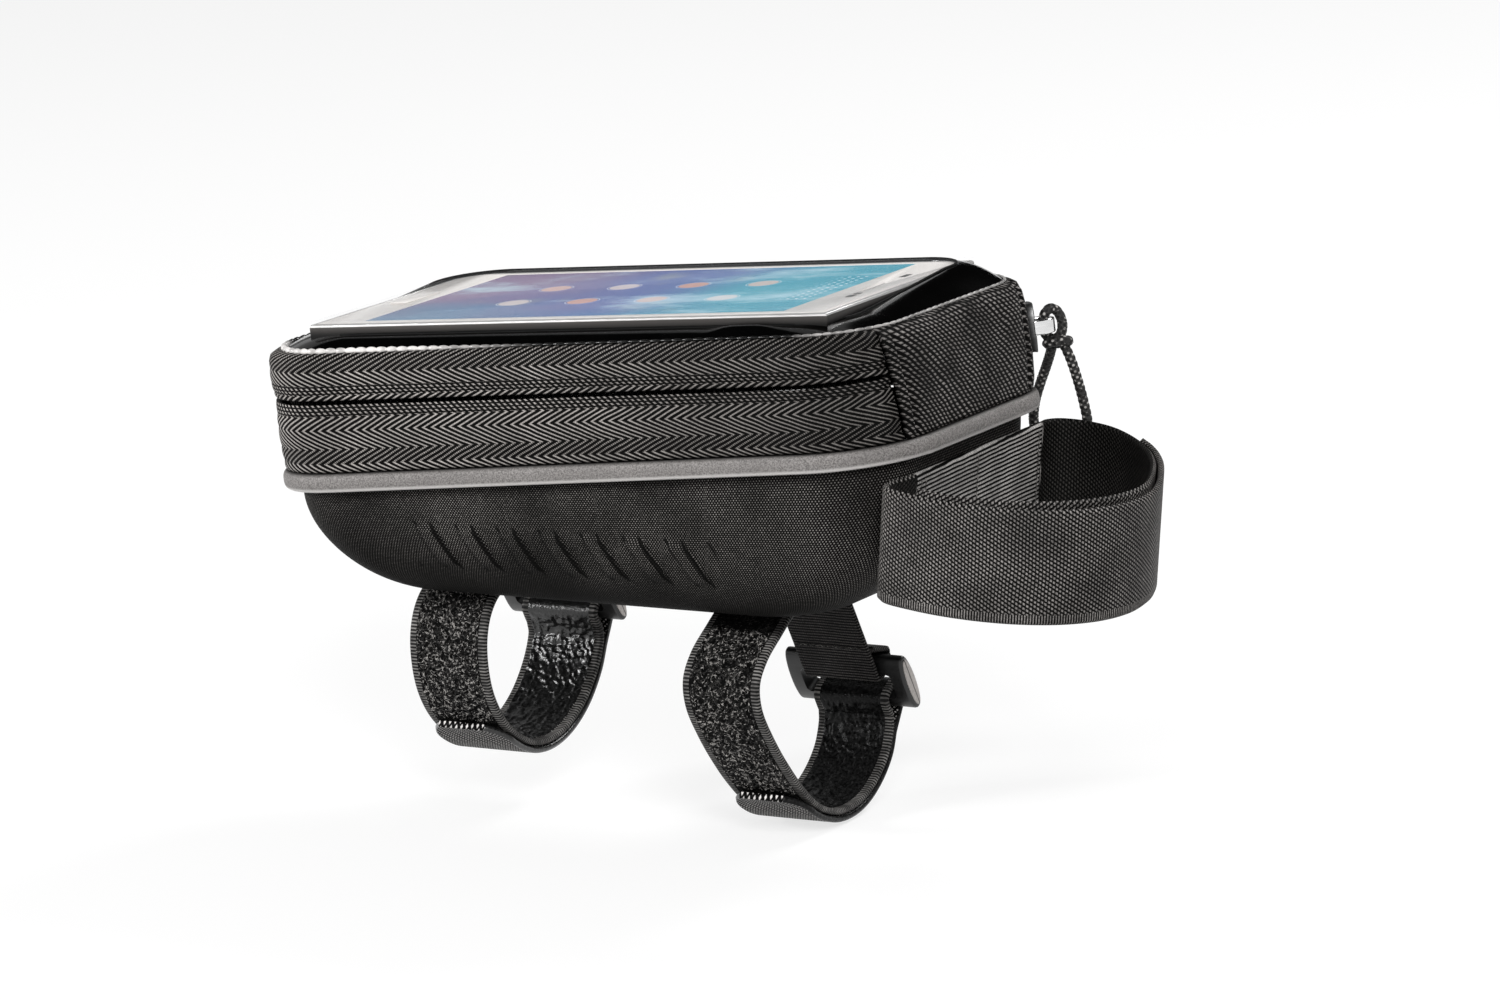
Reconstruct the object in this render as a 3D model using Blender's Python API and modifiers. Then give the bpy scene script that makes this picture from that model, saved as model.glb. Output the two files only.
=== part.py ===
"""A top tube phone bag: a moulded shell with a zipped lid, a window over a phone, and three fastening loops.

Metres, +Z up, +X towards the handlebar. The origin is the middle of the flat seat under the shell.
Run with: blender --background --python part.py
"""
import math

import bmesh
import bpy
from mathutils import Vector

MM = 0.001
GAP = 0.3 * MM

# Phone, the common 5 inch size
SCREEN_LENGTH = 110.7 * MM
SCREEN_WIDTH = 62.3 * MM
PHONE_END_BEZEL = 12.95 * MM
PHONE_SIDE_BEZEL = 3.75 * MM
PHONE_LENGTH = SCREEN_LENGTH + 2 * PHONE_END_BEZEL
PHONE_WIDTH = SCREEN_WIDTH + 2 * PHONE_SIDE_BEZEL
PHONE_THICKNESS = 7.9 * MM
PHONE_CORNER_RADIUS = 12.5 * MM
PHONE_BACK_CHAMFER = 1.0 * MM
PHONE_CENTRE_X = 0.5 * MM
PHONE_TOP_HEIGHT = 36.0 * MM
PHONE_RIM_WALL = 1.2 * MM
PHONE_RIM_HEIGHT = 5.2 * MM
PHONE_GLASS = 1.2 * MM
EARPIECE_LENGTH = 12.0 * MM
EARPIECE_WIDTH = 1.6 * MM
EARPIECE_FROM_END = 7.0 * MM

# Bag outline at the flange, where the gusset meets the shell: the phone and a margin all round
END_MARGIN = 16.4 * MM
SIDE_MARGIN = 9.7 * MM
FLANGE_HALF_LENGTH = PHONE_LENGTH / 2 + END_MARGIN
FLANGE_HALF_WIDTH = PHONE_WIDTH / 2 + SIDE_MARGIN
FLANGE_CORNER_RADIUS = 22.0 * MM
FLANGE_PITCH_DEG = 5.5
SHELL_DEPTH = 31.0 * MM

# Moulded shell
SHELL_WALL = 2.5 * MM
SHELL_INSET = 4.3 * MM
SEAT_REAR_X = -51.0 * MM
SEAT_FRONT_X = 45.0 * MM
SEAT_HALF_WIDTH = 27.0 * MM
SEAT_CORNER_RADIUS = 10.0 * MM
REAR_ROUNDING = 0.60
FRONT_ROUNDING = 0.42
SIDE_ROUNDING = 0.50
SHELL_RINGS = 10

# Reflective piping round the flange
PIPING_HEIGHT = 4.8 * MM
PIPING_DEPTH = 4.0 * MM
PIPING_EDGE_RADIUS = 1.2 * MM

# Zipped gusset: two tapes, two coils and the plain front panel
GUSSET_INSET = 1.0 * MM
TAPE_THICKNESS = 1.2 * MM
FRONT_PANEL_THICKNESS = 1.5 * MM
FRONT_PANEL_HALF_ANGLE_DEG = 30.0
ZIP_LINE_HEIGHT = 19.3 * MM
ZIP_LINE_GAP = 1.0 * MM
GUSSET_REAR_HEIGHT = 34.0 * MM
GUSSET_FRONT_HEIGHT = 30.5 * MM
GUSSET_BULGE = 0.5 * MM
GUSSET_TOP_ROLL = 3.2 * MM
COIL_WIDTH = 1.6 * MM

# Lid: window frame, clear film, phone pad and pocket panel
FRAME_WALL = 1.2 * MM
FILM_THICKNESS = 0.4 * MM
FILM_OVERHANG = 0.2 * MM
PAD_THICKNESS = 2.0 * MM
PAD_INSET = 2.0 * MM
PAD_EDGE_RADIUS = 0.5 * MM
POCKET_PANEL_THICKNESS = 1.2 * MM
POCKET_PANEL_INSET = 3.1 * MM
LID_PITCH_DEG = 1.5

# Zip slider and its cord
SLIDER_ANGLE_DEG = 42.0
SLIDER_HALF_ANGLE_DEG = 9.5
SLIDER_HEIGHT = 11.4 * MM
SLIDER_CENTRE_HEIGHT = 17.6 * MM
SLIDER_WALL = 1.8 * MM
BAIL_WIDTH = 3.4 * MM
BAIL_THICKNESS = 1.0 * MM
BAIL_REACH = 4.4 * MM
BAIL_HALF_SPAN = 3.4 * MM
KNOT_CLEARANCE = 0.6 * MM
CORD_DIAMETER = 2.4 * MM

# Hook and loop straps under the shell
STRAP_THICKNESS = 1.5 * MM
REAR_STRAP_X = -44.0 * MM
REAR_STRAP_WIDTH = 21.0 * MM
FRONT_STRAP_X = 31.1 * MM
FRONT_STRAP_WIDTH = 20.0 * MM
TAB_THICKNESS = 1.4 * MM
BUCKLE_LENGTH = 31.0 * MM
BUCKLE_HEIGHT = 15.5 * MM
BUCKLE_THICKNESS = 5.0 * MM
BUCKLE_SLOT_HEIGHT = 7.4 * MM
BUCKLE_TILT_DEG = 30.0
BUCKLE_EDGE_RADIUS = 0.6 * MM
SLOT_SIDE_MARGIN = 1.5 * MM
STRAP_LEG_REACH = 5.2 * MM
TAB_LEG_REACH = 4.0 * MM
TAB_SEWN_LENGTH = 9.0 * MM
TAB_BEND_START = 5.6 * MM
TAB_BEND_MIDDLE = 2.6 * MM
TAB_END_OVERHANG = 3.5 * MM
STRAP_POINT_SPACING = 2.5 * MM
TURN_POINT_SPACING = 1.2 * MM
REAR_BUCKLE_CENTRE = (25.0 * MM, -11.2 * MM)
FRONT_BUCKLE_CENTRE = (31.0 * MM, -28.0 * MM)

# Head tube loop in front
HEAD_WEB_WIDTH = 26.0 * MM
HEAD_WEB_THICKNESS = 1.4 * MM
HEAD_LOOP_SETBACK = 3.7 * MM
HEAD_LOOP_X = FLANGE_HALF_LENGTH - HEAD_LOOP_SETBACK
HEAD_LOOP_TOP = 35.0 * MM
HEAD_LOOP_TILT_DEG = 6.0
WEB_POINT_SPACING = 3.0 * MM

ARC_STEP_DEG = 10.0

# Rear strap, from its sewn end under the shell down the near side: Y and Z in millimetres
REAR_STRAP_ROUTE = [
    (-6, -1.1), (-9.5, -1.1), (-13, -1.1), (-18.5, -2.0), (-22.8, -5.8), (-25.1, -11.2), (-25.4, -17.5),
    (-23.8, -24.5),
]
# and on round the tube to the buckle, where its folded-back end lies over it
REAR_LAP_ROUTE = [
    (-19.8, -31.2), (-13.6, -36.8), (-6, -40.4), (2, -41.2), (10, -39.4), (17.3, -35.2), (23.0, -29.2),
    (26.2, -23.2),
]
# Front strap, in the same order
FRONT_STRAP_ROUTE = [
    (2, -1.1), (-6, -1.2), (-12.5, -2.8), (-19, -6.3), (-25.6, -10.4), (-29.6, -15.5), (-29.0, -21.8),
    (-24.8, -28.8), (-19, -36.2),
]
FRONT_LAP_ROUTE = [
    (-12, -43.6), (-4.6, -49.6), (3.6, -52.9), (11, -53.6), (18, -52.4), (24.4, -49.2), (29.2, -44.8),
    (31.6, -39.8),
]

# Head tube loop seen along its own axis, from where the webbing leaves the sewn patch: X in front of the
# patch, and Y, in millimetres
NEAR_TAIL_ROUTE = [
    (0.0, -26.3), (-0.4, -30.2), (-1.1, -34.2), (-0.6, -38.4), (2.2, -41.6), (7.5, -42.8),
    (16.0, -43.2), (25.0, -41.8), (33.5, -38.4), (41.0, -32.6), (46.6, -24.6), (49.4, -15.0),
    (49.6, -4.5), (47.6, 6.0), (43.6, 15.5), (39.6, 22.6),
]
FAR_TAIL_ROUTE = [
    (0.0, 34.8), (0.1, 37.6), (2.4, 40.7), (7.5, 42.2), (14.6, 41.2), (22.0, 36.6), (29.4, 29.4),
    (35.4, 20.6), (40.2, 10.6), (43.8, 0.0), (44.2, -9.0), (41.8, -18.4), (36.6, -26.6), (29.6, -32.8),
    (22.0, -36.8), (14.4, -38.4), (7.0, -37.6),
]
PATCH_NEAR_Y = -26.0 * MM
PATCH_FAR_Y = 34.5 * MM

# Pull cord: down from the knot behind the bag, round, and up again beside the head tube loop
PULL_CORD_ROUTE = [
    (81.0, 41.7, 51.4), (79.6, 43.0, 48.8), (77.6, 44.6, 45.4), (75.4, 45.7, 41.2), (73.6, 46.4, 36.8),
    (72.9, 46.8, 32.2), (73.9, 47.0, 27.6), (76.7, 47.1, 24.2), (80.4, 47.1, 23.2), (83.8, 47.0, 24.8),
    (86.2, 46.8, 28.2), (87.0, 46.4, 32.6), (86.6, 45.6, 37.6), (85.8, 44.4, 43.2), (84.9, 43.2, 48.0),
    (83.6, 42.4, 51.8),
]
CORD_POINT_SPACING = 2.2 * CORD_DIAMETER

MATERIALS = {
    "shell_fabric": ((0.018, 0.018, 0.02), 0.62, 0.0),
    "reflective_grey": ((0.62, 0.60, 0.58), 0.45, 0.0),
    "zip_tape": ((0.045, 0.043, 0.04), 0.7, 0.0),
    "coil_nylon": ((0.02, 0.02, 0.02), 0.35, 0.0),
    "front_weave": ((0.03, 0.03, 0.03), 0.7, 0.0),
    "window_frame_gloss": ((0.008, 0.008, 0.009), 0.12, 0.0),
    "window_clear": ((0.8, 0.8, 0.8), 0.05, 0.0),
    "foam": ((0.03, 0.03, 0.032), 0.9, 0.0),
    "lining": ((0.05, 0.05, 0.055), 0.85, 0.0),
    "phone_white": ((0.8, 0.78, 0.76), 0.18, 0.0),
    "phone_silver": ((0.6, 0.6, 0.6), 0.25, 1.0),
    "phone_screen": ((0.08, 0.2, 0.32), 0.08, 0.0),
    "phone_black": ((0.01, 0.01, 0.01), 0.5, 0.0),
    "slider_metal": ((0.55, 0.55, 0.55), 0.25, 1.0),
    "cord_black": ((0.02, 0.02, 0.02), 0.75, 0.0),
    "strap_rubber": ((0.014, 0.014, 0.014), 0.4, 0.0),
    "webbing": ((0.03, 0.03, 0.03), 0.75, 0.0),
    "buckle_plastic": ((0.015, 0.015, 0.016), 0.35, 0.0),
}


def millimetres(points):
    """Scale a hand-written route from millimetres to metres."""
    return [Vector(value * MM for value in point) for point in points]


def make_material(name):
    """A Principled material from the table of finishes."""
    if name in bpy.data.materials:
        return bpy.data.materials[name]
    color, roughness, metallic = MATERIALS[name]
    material = bpy.data.materials.new(name)
    material.use_nodes = True
    shader = material.node_tree.nodes["Principled BSDF"]
    shader.inputs["Base Color"].default_value = (*color, 1.0)
    shader.inputs["Roughness"].default_value = roughness
    shader.inputs["Metallic"].default_value = metallic
    material.diffuse_color = (*color, 1.0)
    return material


def add_object(name, bm, material=None, parent=None, cutter=False):
    """Turn a bmesh into a named object, under a parent empty where it has one.

    The mesh is written in the bag's own frame, so a piece under a joint's empty is shifted back by it.
    """
    mesh = bpy.data.meshes.new(name)
    bm.to_mesh(mesh)
    bm.free()
    piece = bpy.data.objects.new(name, mesh)
    if cutter:
        bpy.data.collections["cutters"].objects.link(piece)
        piece.hide_render = True
        piece.display_type = "WIRE"
    else:
        bpy.data.collections["top_tube_phone_bag"].objects.link(piece)
        mesh.materials.append(make_material(material))
    if parent:
        piece.parent = parent
        piece.location = -parent.location if parent.get("joint") else Vector()
    return piece


def add_empty(name, location, parent=None, rotation_y=0.0, joint=False):
    """An empty that carries pieces, on a joint's axis where the pieces move."""
    empty = bpy.data.objects.new(name, None)
    bpy.data.collections["top_tube_phone_bag"].objects.link(empty)
    empty.location = location
    empty.rotation_euler = (0.0, rotation_y, 0.0)
    empty.parent = parent
    if joint:
        empty["joint"] = True
    return empty


def solidify(piece, thickness, offset=-1.0):
    """Give an open surface its wall."""
    wall = piece.modifiers.new("wall", "SOLIDIFY")
    wall.thickness = thickness
    wall.offset = offset
    wall.use_even_offset = True


def bevel(piece, width, segments=2):
    """Round the sharp edges."""
    rounding = piece.modifiers.new("rounded_edges", "BEVEL")
    rounding.width = width
    rounding.segments = segments
    rounding.limit_method = "ANGLE"
    rounding.angle_limit = math.radians(50)


def cut(piece, cutter):
    """Cut one solid out of another."""
    boolean = piece.modifiers.new("cut", "BOOLEAN")
    boolean.operation = "DIFFERENCE"
    boolean.solver = "EXACT"
    boolean.object = cutter


def outline(half_length, half_width, radius, offset=0.0, first=0.0, last=360.0, front=None):
    """Points round a rounded rectangle, anticlockwise seen from above.

    first and last are the directions that the outline faces, in degrees from +X, and front
    is a different half length for the +X end.
    """
    front = half_length if front is None else front
    quarters = [(1, 1), (-1, 1), (-1, -1), (1, -1)]
    steps = max(1, round((last - first) / ARC_STEP_DEG))
    points = []
    for step in range(steps + 1):
        angle = first + (last - first) * step / steps
        near_quarter = abs(angle / 90 - round(angle / 90)) < 1e-6
        inside = first + 1e-6 < angle < last - 1e-6
        if near_quarter and inside:
            owners = [round(angle / 90) - 1, round(angle / 90)]
        elif near_quarter and step == steps:
            owners = [round(angle / 90) - 1]
        else:
            owners = [math.floor(angle / 90 + 1e-6)]
        for owner in owners:
            sign_x, sign_y = quarters[owner % 4]
            reach = front if sign_x > 0 else half_length
            centre_x = sign_x * (reach - radius)
            centre_y = sign_y * (half_width - radius)
            turn = math.radians(angle)
            points.append((
                centre_x + (radius + offset) * math.cos(turn),
                centre_y + (radius + offset) * math.sin(turn),
            ))
    return points


def flange_outline(offset, first=0.0, last=360.0):
    """The bag's outline at the flange, moved in or out."""
    return outline(FLANGE_HALF_LENGTH, FLANGE_HALF_WIDTH, FLANGE_CORNER_RADIUS, offset, first, last)


def phone_outline(offset):
    """The phone's outline, moved in or out."""
    return outline(PHONE_LENGTH / 2, PHONE_WIDTH / 2, PHONE_CORNER_RADIUS, offset)


def skin(loops, closed_round=False, closed_over=False, cap_first=False, cap_last=False):
    """A surface through loops of points: round each loop, and over from loop to loop."""
    bm = bmesh.new()
    rows = [[bm.verts.new(point) for point in loop] for loop in loops]
    count = len(rows[0])
    round_steps = count if closed_round else count - 1
    over_steps = len(rows) if closed_over else len(rows) - 1
    for over in range(over_steps):
        lower = rows[over]
        upper = rows[(over + 1) % len(rows)]
        for step in range(round_steps):
            after = (step + 1) % count
            bm.faces.new((lower[step], lower[after], upper[after], upper[step]))
    if cap_first:
        bm.faces.new(list(reversed(rows[0])))
    if cap_last:
        bm.faces.new(rows[-1])
    return bm


def plate(points, low, high):
    """A flat plate from an outline, with its faces pointing out."""
    return skin(
        [[(x, y, low) for x, y in points], [(x, y, high) for x, y in points]],
        closed_round=True, cap_first=True, cap_last=True,
    )


def box(low, high):
    """A box between two corners."""
    bm = bmesh.new()
    bmesh.ops.create_cube(bm, size=1.0)
    for vert in bm.verts:
        for axis in range(3):
            vert.co[axis] = low[axis] if vert.co[axis] < 0 else high[axis]
    return bm


def smooth_route(points, spacing):
    """Evenly spaced points on one smooth curve through a route's points."""
    padded = [2 * points[0] - points[1], *points, 2 * points[-1] - points[-2]]
    fine = []
    for index in range(1, len(padded) - 2):
        before, start, end, after = padded[index - 1:index + 3]
        for part in range(16):
            t = part / 16
            fine.append(0.5 * (
                2 * start + (end - before) * t
                + (2 * before - 5 * start + 4 * end - after) * t ** 2
                + (3 * start - before - 3 * end + after) * t ** 3
            ))
    fine.append(points[-1])
    total = sum((b - a).length for a, b in zip(fine, fine[1:]))
    pieces = max(2, round(total / spacing))
    result = [fine[0]]
    travelled = 0.0
    for a, b in zip(fine, fine[1:]):
        length = (b - a).length
        while len(result) < pieces and travelled + length >= total * len(result) / pieces:
            share = (total * len(result) / pieces - travelled) / length
            result.append(a.lerp(b, share))
        travelled += length
    result.append(fine[-1])
    return result


def shifted_route(points, distance):
    """A flat route moved sideways, to the right of its direction of travel for a positive distance."""
    moved = []
    for index, point in enumerate(points):
        before = points[max(index - 1, 0)]
        after = points[min(index + 1, len(points) - 1)]
        along = (after - before).normalized()
        moved.append(point + distance * Vector((along[1], -along[0])))
    return moved


def ribbon(name, route, low, high, thickness, material, parent=None, upright=False):
    """A strap of one thickness along a flat route.

    An upright ribbon's route is X and Y with its width along Z, and any other one's route is
    Y and Z with its width along X.
    """
    if upright:
        loops = [[(x, y, level) for x, y in route] for level in (low, high)]
    else:
        loops = [[(level, y, z) for y, z in route] for level in (low, high)]
    strap = add_object(name, skin(loops), material, parent)
    solidify(strap, thickness, 0.0)
    strap.data.shade_smooth()
    return strap


def gusset_top(x):
    """Height of the gusset's top seam above the flange, which falls towards the front."""
    share = (x + FLANGE_HALF_LENGTH) / (2 * FLANGE_HALF_LENGTH)
    return GUSSET_REAR_HEIGHT + (GUSSET_FRONT_HEIGHT - GUSSET_REAR_HEIGHT) * share


def make_shell():
    """The moulded shell: an upright rim inside the piping, then a bowl down to the flat seat."""
    pitch = math.radians(FLANGE_PITCH_DEG)
    rim_half_length = FLANGE_HALF_LENGTH - SHELL_INSET
    rim_half_width = FLANGE_HALF_WIDTH - SHELL_INSET
    rim_radius = FLANGE_CORNER_RADIUS - SHELL_INSET
    rear_run = rim_half_length + SEAT_REAR_X
    front_run = rim_half_length - SEAT_FRONT_X
    side_run = rim_half_width - SEAT_HALF_WIDTH
    loops = []
    for ring in range(SHELL_RINGS + 1):
        depth = math.sin(math.radians(90) * ring / SHELL_RINGS)
        left = 1 - depth * depth
        rear = rim_half_length - rear_run * (1 - left ** REAR_ROUNDING)
        front = rim_half_length - front_run * (1 - left ** FRONT_ROUNDING)
        half_width = rim_half_width - side_run * (1 - left ** SIDE_ROUNDING)
        radius = rim_radius + (SEAT_CORNER_RADIUS - rim_radius) * depth ** 3
        loop = []
        for x, y in outline(rear, half_width, radius, front=front):
            top = SHELL_DEPTH + x * math.tan(pitch)
            loop.append((x * (1 - depth) * math.cos(pitch) + x * depth, y, top * (1 - depth)))
        loops.append(loop)
    rim_rise = PIPING_HEIGHT - GAP
    rim = [(x - rim_rise * math.sin(pitch), y, z + rim_rise * math.cos(pitch)) for x, y, z in loops[0]]
    loops = [rim] + loops
    loops.reverse()
    shell = add_object("base_shell", skin(loops, closed_round=True, cap_first=True), "shell_fabric")
    solidify(shell, SHELL_WALL)
    shell.data.shade_smooth()


def make_piping(bag_frame):
    """The reflective band that wraps the flange between the shell and the gusset."""
    loops = []
    for offset, height in ((-PIPING_DEPTH, 0.0), (0.0, 0.0), (0.0, PIPING_HEIGHT), (-PIPING_DEPTH, PIPING_HEIGHT)):
        loops.append([(x, y, height) for x, y in flange_outline(offset)])
    piping = add_object(
        "reflective_piping", skin(loops, closed_round=True, closed_over=True), "reflective_grey", bag_frame,
    )
    bevel(piping, PIPING_EDGE_RADIUS)


def gusset_profile(low, high_share, rolled):
    """Offsets and height shares of a gusset wall, from its lower edge to its upper edge."""
    profile = [(0.0, low), (GUSSET_BULGE, 0.5 * (low + high_share))]
    if rolled:
        profile += [
            (0.2 * GUSSET_BULGE, 0.78), (-0.12 * GUSSET_TOP_ROLL, 0.90),
            (-0.5 * GUSSET_TOP_ROLL, 0.975), (-GUSSET_TOP_ROLL, 1.0),
        ]
    else:
        profile.append((0.0, high_share))
    return profile


def gusset_wall(name, profile, base, thickness, first, last, material, parent):
    """A fabric wall standing on the flange outline, from one direction of the outline to another."""
    loops = []
    for offset, share in profile:
        points = flange_outline(offset - GUSSET_INSET, first, last)
        loops.append([(x, y, base + share * (gusset_top(x) - base)) for x, y in points])
    wall = add_object(name, skin(loops), material, parent)
    solidify(wall, thickness)
    wall.data.shade_smooth()


def level_wall(name, inset, low, high, thickness, first, last, material, parent):
    """A fabric wall between two level heights."""
    loops = []
    for share, bulge in ((0.0, 0.0), (0.5, GUSSET_BULGE), (1.0, 0.0)):
        points = flange_outline(bulge - inset, first, last)
        loops.append([(x, y, low + share * (high - low)) for x, y in points])
    wall = add_object(name, skin(loops), material, parent)
    solidify(wall, thickness)
    wall.data.shade_smooth()


def make_gusset(bag_frame, lid_hinge):
    """Lower tape and front panel on the base, upper tape on the lid, and a coil behind each tape."""
    corner = FLANGE_CORNER_RADIUS - GUSSET_INSET
    seam = math.degrees(GAP / 2 / corner)
    tape_start = FRONT_PANEL_HALF_ANGLE_DEG + seam
    tape_end = 360.0 - tape_start
    lower_foot = PIPING_HEIGHT + GAP
    lower_edge = ZIP_LINE_HEIGHT - ZIP_LINE_GAP / 2
    upper_edge = ZIP_LINE_HEIGHT + ZIP_LINE_GAP / 2
    level_wall(
        "lower_zip_tape", GUSSET_INSET, lower_foot, lower_edge, TAPE_THICKNESS,
        tape_start, tape_end, "zip_tape", bag_frame,
    )
    gusset_wall(
        "upper_zip_tape", gusset_profile(0.0, 0.65, True), upper_edge, TAPE_THICKNESS,
        tape_start, tape_end, "zip_tape", lid_hinge,
    )
    gusset_wall(
        "front_panel", gusset_profile(0.0, 0.65, True), lower_foot, FRONT_PANEL_THICKNESS,
        -FRONT_PANEL_HALF_ANGLE_DEG + seam, FRONT_PANEL_HALF_ANGLE_DEG - seam, "front_weave", bag_frame,
    )
    coil_inset = GUSSET_INSET + TAPE_THICKNESS + GAP
    for name, low, parent in (
        ("lower_coil", lower_edge - COIL_WIDTH, bag_frame),
        ("upper_coil", upper_edge, lid_hinge),
    ):
        loops = [
            [(x, y, height) for x, y in flange_outline(-coil_inset, tape_start + 1, tape_end - 1)]
            for height in (low, low + COIL_WIDTH)
        ]
        coil = add_object(name, skin(loops), "coil_nylon", parent)
        solidify(coil, COIL_WIDTH)


def make_window(lid_hinge, phone_frame):
    """The domed gloss frame from the gusset seam up to the phone, and the clear film over the phone."""
    film_low = GAP
    film_high = GAP + FILM_THICKNESS
    pitch = math.radians(LID_PITCH_DEG)
    seam_offset = -GUSSET_INSET - GUSSET_TOP_ROLL - GAP
    seam_points = flange_outline(seam_offset)
    edge_points = phone_outline(FILM_OVERHANG + GAP)
    loops = []
    for step in range(7):
        share = step / 6
        loop = []
        for seam_point, edge_point in zip(seam_points, edge_points):
            seam_height = gusset_top(seam_point[0])
            edge_x = PHONE_CENTRE_X + edge_point[0]
            edge_height = PHONE_TOP_HEIGHT + film_high - edge_point[0] * math.tan(pitch)
            rise = math.sin(math.radians(90) * share)
            loop.append((
                seam_point[0] + (edge_x - seam_point[0]) * share,
                seam_point[1] + (edge_point[1] - seam_point[1]) * share,
                seam_height + (edge_height - seam_height) * rise,
            ))
        loops.append(loop)
    frame = add_object("window_frame", skin(loops, closed_round=True), "window_frame_gloss", lid_hinge)
    solidify(frame, FRAME_WALL)
    frame.data.shade_smooth()
    add_object("window_film", plate(phone_outline(FILM_OVERHANG), film_low, film_high), "window_clear", phone_frame)


def make_phone(phone_frame):
    """A plain slab phone face up under the film: body, metal rim, white front glass and screen."""
    bottom = -PHONE_THICKNESS
    rim_low = -PHONE_RIM_HEIGHT
    core_inset = -PHONE_RIM_WALL - GAP
    loops = [
        [(x, y, bottom) for x, y in phone_outline(-PHONE_BACK_CHAMFER)],
        [(x, y, bottom + PHONE_BACK_CHAMFER) for x, y in phone_outline(0.0)],
        [(x, y, rim_low - GAP) for x, y in phone_outline(0.0)],
        [(x, y, rim_low - GAP) for x, y in phone_outline(core_inset)],
        [(x, y, -PHONE_GLASS - GAP) for x, y in phone_outline(core_inset)],
    ]
    add_object(
        "phone_back_shell", skin(loops, closed_round=True, cap_first=True, cap_last=True),
        "phone_white", phone_frame,
    )
    band = [(x, y) for x, y in phone_outline(0.0)]
    rim = add_object(
        "phone_rim",
        skin([[(x, y, rim_low) for x, y in band], [(x, y, 0.0) for x, y in band]], closed_round=True),
        "phone_silver", phone_frame,
    )
    solidify(rim, PHONE_RIM_WALL)
    glass = add_object(
        "phone_front_glass", plate(phone_outline(core_inset), -PHONE_GLASS, 0.0), "phone_white", phone_frame,
    )
    screen_half = (SCREEN_LENGTH / 2, SCREEN_WIDTH / 2)
    cut(glass, add_object(
        "screen_opening",
        box((-screen_half[0], -screen_half[1], -2 * PHONE_GLASS), (screen_half[0], screen_half[1], PHONE_GLASS)),
        parent=phone_frame, cutter=True,
    ))
    add_object(
        "phone_screen",
        box(
            (-screen_half[0] + GAP, -screen_half[1] + GAP, -PHONE_GLASS),
            (screen_half[0] - GAP, screen_half[1] - GAP, 0.0),
        ),
        "phone_screen", phone_frame,
    )
    slot_x = PHONE_LENGTH / 2 - EARPIECE_FROM_END
    slot = (EARPIECE_WIDTH / 2 + GAP, EARPIECE_LENGTH / 2 + GAP)
    cut(glass, add_object(
        "earpiece_opening",
        box((slot_x - slot[0], -slot[1], -2 * PHONE_GLASS), (slot_x + slot[0], slot[1], PHONE_GLASS)),
        parent=phone_frame, cutter=True,
    ))
    add_object(
        "earpiece_mesh",
        box(
            (slot_x - EARPIECE_WIDTH / 2, -EARPIECE_LENGTH / 2, -PHONE_GLASS),
            (slot_x + EARPIECE_WIDTH / 2, EARPIECE_LENGTH / 2, -GAP),
        ),
        "phone_black", phone_frame,
    )
    pad_top = bottom - GAP
    pad_low = pad_top - PAD_THICKNESS
    pad = add_object("phone_pad", plate(phone_outline(-PAD_INSET), pad_low, pad_top), "foam", phone_frame)
    bevel(pad, PAD_EDGE_RADIUS)
    panel_top = pad_low - GAP
    panel_points = [(x - PHONE_CENTRE_X, y) for x, y in flange_outline(-POCKET_PANEL_INSET)]
    add_object(
        "pocket_panel", plate(panel_points, panel_top - POCKET_PANEL_THICKNESS, panel_top),
        "lining", phone_frame,
    )


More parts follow.
